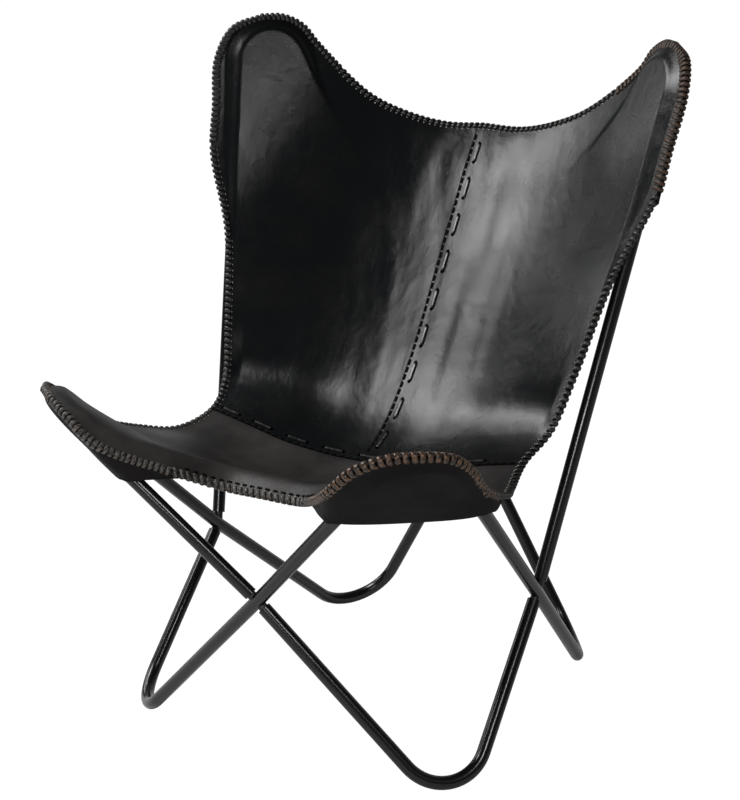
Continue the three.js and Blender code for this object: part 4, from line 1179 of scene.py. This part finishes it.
class CHAIR_OT_lacing(bpy.types.Operator):
    """Whips a thong over every edge of the sling, turn by turn"""
    bl_idname = "chair.lacing"
    bl_label = "Edge lacing"

    def execute(self, context):
        sling, sizes, hide = the_sling(), context.scene.chair_lacing, context.scene.chair_hide
        half = hide.thickness / 2
        laced_depth = hide.thickness + FIT_GAP * 2
        for corner, pitch, finish, deeper in (
                ("front_right", sizes.broad_lace_pitch, brown_thong(), 0),
                # The back right pocket's thong is the brown one drawn darker, as painted shade
                ("back_right", sizes.pocket_lace_pitch, brown_thong_painted_shade(), BACK_RIGHT_DEEPER),
                ("front_left", sizes.pocket_lace_pitch, dusty_thong(), 0),
                ("back_left", sizes.pocket_lace_pitch, black_thong(), BACK_LEFT_DEEPER)):
            place, side = corner.split("_")
            across, along = edge_places(place, *RIM_SHARES[place], POCKET_EDGE_STEPS)
            width = pitch * sizes.pocket_lace_fill
            inset = sizes.lace_inset + deeper
            self.whip(f"{corner}_pocket", Edge(sling, across * (-1 if side == "left" else 1), along),
                      (half, laced_depth + half), (width, width * sizes.pocket_lace_thickness),
                      (inset, inset + UNDER_SET), pitch, ROUND_SECTION, finish)
        cut = sizes.lace_width, sizes.lace_thickness
        insets = sizes.lace_inset, sizes.lace_inset
        for side, sign in (("left", -1.0), ("right", 1.0)):
            along = np.linspace(SEAM_SHARE * RIM_SHARES["front"][1],
                                mix(1, SEAM_SHARE, RIM_SHARES["back"][1]), EDGE_STEPS)
            self.whip(f"{side}_edge", Edge(sling, np.full(EDGE_STEPS, sign), along), (half, half), cut,
                      insets, sizes.lace_pitch, FLAT_SECTION, black_thong())
        facing = hide.facing_thickness + FIT_GAP
        for name, place, share, backing, finish in (("front_edge", "front", 0.0, facing, dusty_thong()),
                                                    ("top_edge", "back", 1.0, 0, black_thong())):
            span = 1 - RIM_SHARES[place][0]
            edge = Edge(sling, np.linspace(-span, span, EDGE_STEPS), np.full(EDGE_STEPS, share))
            self.whip(name, edge, (half, half + backing), cut, insets, sizes.lace_pitch, FLAT_SECTION,
                      finish)
        return {"FINISHED"}

    def whip(self, name, edge, hide_depth, cut, insets, pitch, section, finish):
        turns, rims = whip_lacing(edge, hide_depth, cut, insets, pitch, section)
        bm = many(hose(turns.shape[1] // len(section), len(section)), turns)
        if section is FLAT_SECTION:
            # Light studs at the holes: the undyed rims, with painted glint
            bm = many(hose(2, STUD_SIDES), rims, bm, 1)
        finish_piece(f"{name}_thong", bm, [finish, raw_rim_painted_glint()], [f"{name}_lace"])


class Seam:
    """A seam of the sling, which runs along it or across it at a fixed place"""

    def __init__(self, sling, direction, first, last, fixed):
        self.sling, self.direction, self.fixed = sling, direction, fixed
        self.sideways = "across" if direction == "along" else "along"
        self.share = np.linspace(first, last, SEAM_STEPS)
        self.measure = run_length(sling.points(*self.places(self.share, fixed)))

    def places(self, lengthwise, sideways):
        """across and along of places given along the seam and beside it"""
        if self.direction == "along":
            return np.broadcast_arrays(sideways, lengthwise)
        return np.broadcast_arrays(lengthwise, sideways)

    def row(self, offset, pitch):
        """Places at equal steps beside the seam. offset is how far they stand from it."""
        count = int(self.measure[-1] / pitch)
        spots = np.interp((np.arange(count) + 0.5) * pitch, self.measure, self.share)
        rate = self.sling.rate(*self.places(spots, self.fixed), self.sideways)
        return self.places(spots, self.fixed + offset / rate)

    def moved(self, across, along, shift):
        """Places shifted along the seam"""
        if self.direction == "along":
            return np.broadcast_arrays(across, along + shift)
        return np.broadcast_arrays(across + shift, along)

    def stitches(self, offset, pitch, length, width, thickness, bm=None, material_index=0):
        """A row of straps that lie on the upper face and dive into the leather at both ends"""
        sling = self.sling
        across, along = self.row(offset, pitch)
        shift = STITCH_RINGS[None] * (length / sling.rate(across, along, self.direction))[:, None]
        across, along = self.moved(across[:, None], along[:, None], shift)
        lifts = STITCH_LIFTS * thickness
        centres = sling.face(across, along, sling.thickness / 2 + lifts[None])
        tangent = unit(np.gradient(centres, axis=1))
        widths = unit(np.cross(sling.normals(across, along), tangent))
        placed = strap_rings(centres, widths, np.cross(tangent, widths), width, thickness)
        template = hose(len(STITCH_RINGS), len(FLAT_SECTION))
        return many(template, placed.reshape(len(centres), -1, 3), bm, material_index)

    def holes(self, offset, pitch, length, bm, material_index):
        """Low black studs where the stitches of a row go into the leather: painted shadow of their holes
        """
        sling = self.sling
        across, along = self.row(offset, pitch)
        rate = sling.rate(across, along, self.direction)
        ends = [self.moved(across, along, end * length / rate) for end in (-0.5, 0.5)]
        across, along = (np.concatenate(places) for places in zip(*ends))
        at = sling.face(across, along, np.full(len(across), sling.thickness / 2))
        normal = sling.normals(across, along)
        side = unit(np.cross(normal, [0.3, 0.2, 0.9]))
        return many(hose(2, STUD_SIDES), studs(at, side, np.cross(normal, side), normal, *HOLE_SHADOW_STUD),
                    bm, material_index)


class CHAIR_OT_stitching(bpy.types.Operator):
    """Sews the seams: a row of short stitches beside each seam and long ones next to it"""
    bl_idname = "chair.stitching"
    bl_label = "Seam stitching"

    def execute(self, context):
        sling, sizes = the_sling(), context.scene.chair_lacing
        lap_across, lap = lap_shares(sling, context.scene.chair_hide)
        cord, pitch, length = sizes.thread_width, sizes.strap_pitch, sizes.strap_length
        last = 1 - SEAM_MARGIN
        centre = Seam(sling, "along", SEAM_SHARE + SEAM_MARGIN, last, -lap_across)
        cross = Seam(sling, "across", -last, last, SEAM_SHARE - lap)
        for name, seam, row, past in (("centre_seam", centre, CENTRE_ROW, STRAP_SHADOW_SIDE),
                                      ("cross_seam", cross, CROSS_ROW, -STRAP_SHADOW_SIDE)):
            bm = seam.stitches(row, sizes.stitch_pitch, sizes.stitch_length, cord, cord * CORD_FLATNESS)
            # A strip of black cord beside each long stitch: its painted shadow
            bm = seam.stitches(STRAP_ROW + past, pitch, length, *STRAP_SHADOW_CUT, bm)
            # The long stitches' flat faces, painted light as their sheen
            bm = seam.stitches(STRAP_ROW, pitch, length, sizes.strap_width, STRAP_THICKNESS, bm, 1)
            # Black studs at the long stitches' ends: painted shadow inside their holes
            bm = seam.holes(STRAP_ROW, pitch, length + STRAP_THICKNESS, bm, 2)
            finish_piece(f"{name}_stitching", bm,
                         [waxed_cord_and_strap_shadow(), strap_face_painted_sheen(), painted_hole_shadow()], (), STITCH_SHARP_EDGE)
        facing = Seam(sling, "across", -FACING_SPAN_SHARE, FACING_SPAN_SHARE,
                      FACING_DEPTH_SHARE * SEAM_SHARE * FACING_ROW)
        bm = facing.stitches(0.0, sizes.stitch_pitch, sizes.stitch_length * FACING_STITCH,
                             cord * FACING_STITCH, cord * FACING_FLATNESS)
        finish_piece("facing_stitching", bm, [waxed_cord_and_strap_shadow()])
        return {"FINISHED"}


# The stage

# The camera that the photo was taken with: the way back to it, what it looks at, its distance, its
# focal length and the middle of its picture in pixels, and the picture's size
CAMERA_BACK = np.array([0.5023, -0.8255, 0.2573])
CAMERA_TARGET = np.array([0.0, 0.0, 0.4725])
CAMERA_DISTANCE = 2.5488
FOCAL_PIXELS = 1863.0
PRINCIPAL = (372.4, 368.7)
IMAGE = (740, 800)
SENSOR = 36
LAMP_TARGET = Vector((0, 0, 0.6))
LAMP_DISTANCE = 2.6
# Each soft lamp: azimuth (0 is in front of the chair and 90 to the right as seen from there),
# elevation, width, height and power
LAMPS = {
    "key_left_front": (-60, 46, 1.2, 0.8, 44),
    "broad_left": (-92, 40, 1.2, 0.7, 20),
    "low_left": (-96, 13, 1.5, 0.6, 12),
    "fill_right": (53, 30, 0.42, 0.42, 15),
    "low_front": (15, 8, 0.7, 0.25, 16),
}
FLOOR_HALF, FLOOR_DROP = 60, 0.0005
# How much of the floor's light is its own white, how bright that is, and the share of it that
# glossy pieces mirror
FLOOR_SHARE, FLOOR_WHITE, FLOOR_MIRRORED = 0.90, 1.12, 0.14
# How bright the studio is as a light, and the white wall behind the chair to what mirrors it
STUDIO_GREY, WALL_MIRRORED = 0.08, 0.6


def softbox(name, azimuth, elevation, width, height, power):
    """A soft lamp that shines on the chair"""
    around, up = math.radians(azimuth), math.radians(elevation)
    way = Vector((math.sin(around) * math.cos(up), -math.cos(around) * math.cos(up), math.sin(up)))
    data = bpy.data.lights.new(name, "AREA")
    data.shape = "RECTANGLE"
    data.size, data.size_y = width, height
    data.energy = power
    lamp = bpy.data.objects.new(name, data)
    bpy.context.scene.collection.objects.link(lamp)
    lamp.location = LAMP_TARGET + way * LAMP_DISTANCE
    lamp.rotation_mode = "QUATERNION"
    lamp.rotation_quaternion = (-way).to_track_quat("-Z", "Y")


def white_paper():
    """Matt white paper. Rays from the camera see it nearly as an even white, and light falls on
    it as on paper, so that only the chair's shadow shows."""
    material = new_material("matt_white_paper_floor")
    paper = add_node(material, "ShaderNodeBsdfPrincipled", {"Base Color": linear(srgb("#e6e6e6"))},
                     Roughness=0.9)
    rays = add_node(material, "ShaderNodeLightPath").outputs
    mirror = add_node(material, "ShaderNodeMath", {0: rays["Is Glossy Ray"], 1: FLOOR_MIRRORED},
                      operation="MULTIPLY")
    seen = add_node(material, "ShaderNodeMath", {0: rays["Is Camera Ray"], 1: mirror.outputs[0]},
                    operation="MAXIMUM")
    seen = add_node(material, "ShaderNodeMath", {0: seen.outputs[0], 1: rays["Is Transmission Ray"]},
                    operation="MAXIMUM")
    share = add_node(material, "ShaderNodeMath", {0: seen.outputs[0], 1: FLOOR_SHARE},
                     operation="MULTIPLY")
    white = add_node(material, "ShaderNodeEmission", Strength=FLOOR_WHITE)
    blend = add_node(material, "ShaderNodeMixShader", {
        "Fac": share.outputs[0], 1: paper.outputs["BSDF"], 2: white.outputs["Emission"]})
    add_node(material, "ShaderNodeOutputMaterial", {"Surface": blend.outputs[0]})
    return material


class CHAIR_OT_stage(bpy.types.Operator):
    """Sets the floor, the studio light and the camera"""
    bl_idname = "chair.stage"
    bl_label = "Stage"

    def execute(self, context):
        self.floor()
        self.world(context.scene)
        for name, values in LAMPS.items():
            softbox(name, *values)
        self.camera(context.scene)
        context.scene.view_settings.view_transform = "Standard"
        return {"FINISHED"}

    def floor(self):
        bm = bmesh.new()
        bmesh.ops.create_grid(bm, x_segments=1, y_segments=1, size=FLOOR_HALF)
        mesh = bpy.data.meshes.new("studio_floor")
        bm.to_mesh(mesh)
        bm.free()
        mesh.materials.append(white_paper())
        floor = bpy.data.objects.new("studio_floor", mesh)
        floor.location.z = -FLOOR_DROP
        bpy.context.scene.collection.objects.link(floor)

    def world(self, scene):
        """A white world for the camera, grey as a light, with a white wall behind the chair for
        what mirrors it"""
        world = bpy.data.worlds.new("white_studio")
        scene.world = world
        world.use_nodes = True
        world.node_tree.nodes.clear()
        rays = add_node(world, "ShaderNodeLightPath").outputs
        way = add_node(world, "ShaderNodeTexCoord").outputs["Generated"]
        depth = add_node(world, "ShaderNodeSeparateXYZ", {0: way})
        behind = add_node(world, "ShaderNodeMapRange", {"Value": depth.outputs["Y"]}, From_Min=0.5,
                          From_Max=1.0, To_Max=WALL_MIRRORED)
        mirror = add_node(world, "ShaderNodeMath", {0: rays["Is Glossy Ray"],
                          1: rays["Is Transmission Ray"]}, operation="MAXIMUM")
        mirror = add_node(world, "ShaderNodeMath", {0: mirror.outputs[0], 1: behind.outputs["Result"]},
                          operation="MULTIPLY")
        seen = add_node(world, "ShaderNodeMath", {0: rays["Is Camera Ray"], 1: mirror.outputs[0]},
                        operation="MAXIMUM")
        studio = add_node(world, "ShaderNodeBackground", Color=linear(srgb("#f9fdff")),
                          Strength=STUDIO_GREY)
        white = add_node(world, "ShaderNodeBackground", Color=linear(srgb("#ffffff")), Strength=1.0)
        blend = add_node(world, "ShaderNodeMixShader", {
            "Fac": seen.outputs[0], 1: studio.outputs[0], 2: white.outputs[0]})
        add_node(world, "ShaderNodeOutputWorld", {"Surface": blend.outputs[0]})

    def camera(self, scene):
        data = bpy.data.cameras.new("photo_camera")
        data.sensor_width = SENSOR
        data.lens = FOCAL_PIXELS / max(IMAGE) * data.sensor_width
        data.shift_x = -(PRINCIPAL[0] - IMAGE[0] / 2) / max(IMAGE)
        data.shift_y = (PRINCIPAL[1] - IMAGE[1] / 2) / max(IMAGE)
        data.clip_start, data.clip_end = 0.05, 50
        camera = bpy.data.objects.new("photo_camera", data)
        scene.collection.objects.link(camera)
        camera.location = CAMERA_TARGET + ORIGIN + CAMERA_BACK * CAMERA_DISTANCE
        camera.rotation_mode = "QUATERNION"
        camera.rotation_quaternion = Vector(-CAMERA_BACK).to_track_quat("-Z", "Y")
        scene.camera = camera


class CHAIR_PT_panel(bpy.types.Panel):
    """Shows the chair's sizes and colours, and the steps that build it"""
    bl_idname = "CHAIR_PT_panel"
    bl_label = "Sling chair"
    bl_space_type = "VIEW_3D"
    bl_region_type = "UI"
    bl_category = "Sling chair"

    def draw(self, context):
        for name, group in GROUPS.items():
            for key in group.__annotations__:
                self.layout.prop(getattr(context.scene, name), key)
        for operator in OPERATORS:
            self.layout.operator(operator.bl_idname)


GROUPS = {"chair_frame": FrameSizes, "chair_hide": HideSizes, "chair_lacing": LacingSizes,
          "chair_finishes": Finishes}
OPERATORS = [CHAIR_OT_frame, CHAIR_OT_seat_panel, CHAIR_OT_back_panels, CHAIR_OT_pockets,
             CHAIR_OT_facing, CHAIR_OT_lacing, CHAIR_OT_stitching, CHAIR_OT_stage]


def register():
    for name, group in GROUPS.items():
        bpy.utils.register_class(group)
        setattr(bpy.types.Scene, name, PointerProperty(type=group))
    for operator in OPERATORS:
        bpy.utils.register_class(operator)
    bpy.utils.register_class(CHAIR_PT_panel)


def unregister():
    bpy.utils.unregister_class(CHAIR_PT_panel)
    for operator in reversed(OPERATORS):
        bpy.utils.unregister_class(operator)
    for name, group in reversed(GROUPS.items()):
        delattr(bpy.types.Scene, name)
        bpy.utils.unregister_class(group)


def main():
    register()
    bpy.ops.chair.frame()
    bpy.ops.chair.seat_panel()
    bpy.ops.chair.back_panels()
    bpy.ops.chair.pockets()
    bpy.ops.chair.facing()
    bpy.ops.chair.lacing()
    bpy.ops.chair.stitching()
    bpy.ops.chair.stage()


if __name__ == "__main__":
    main()
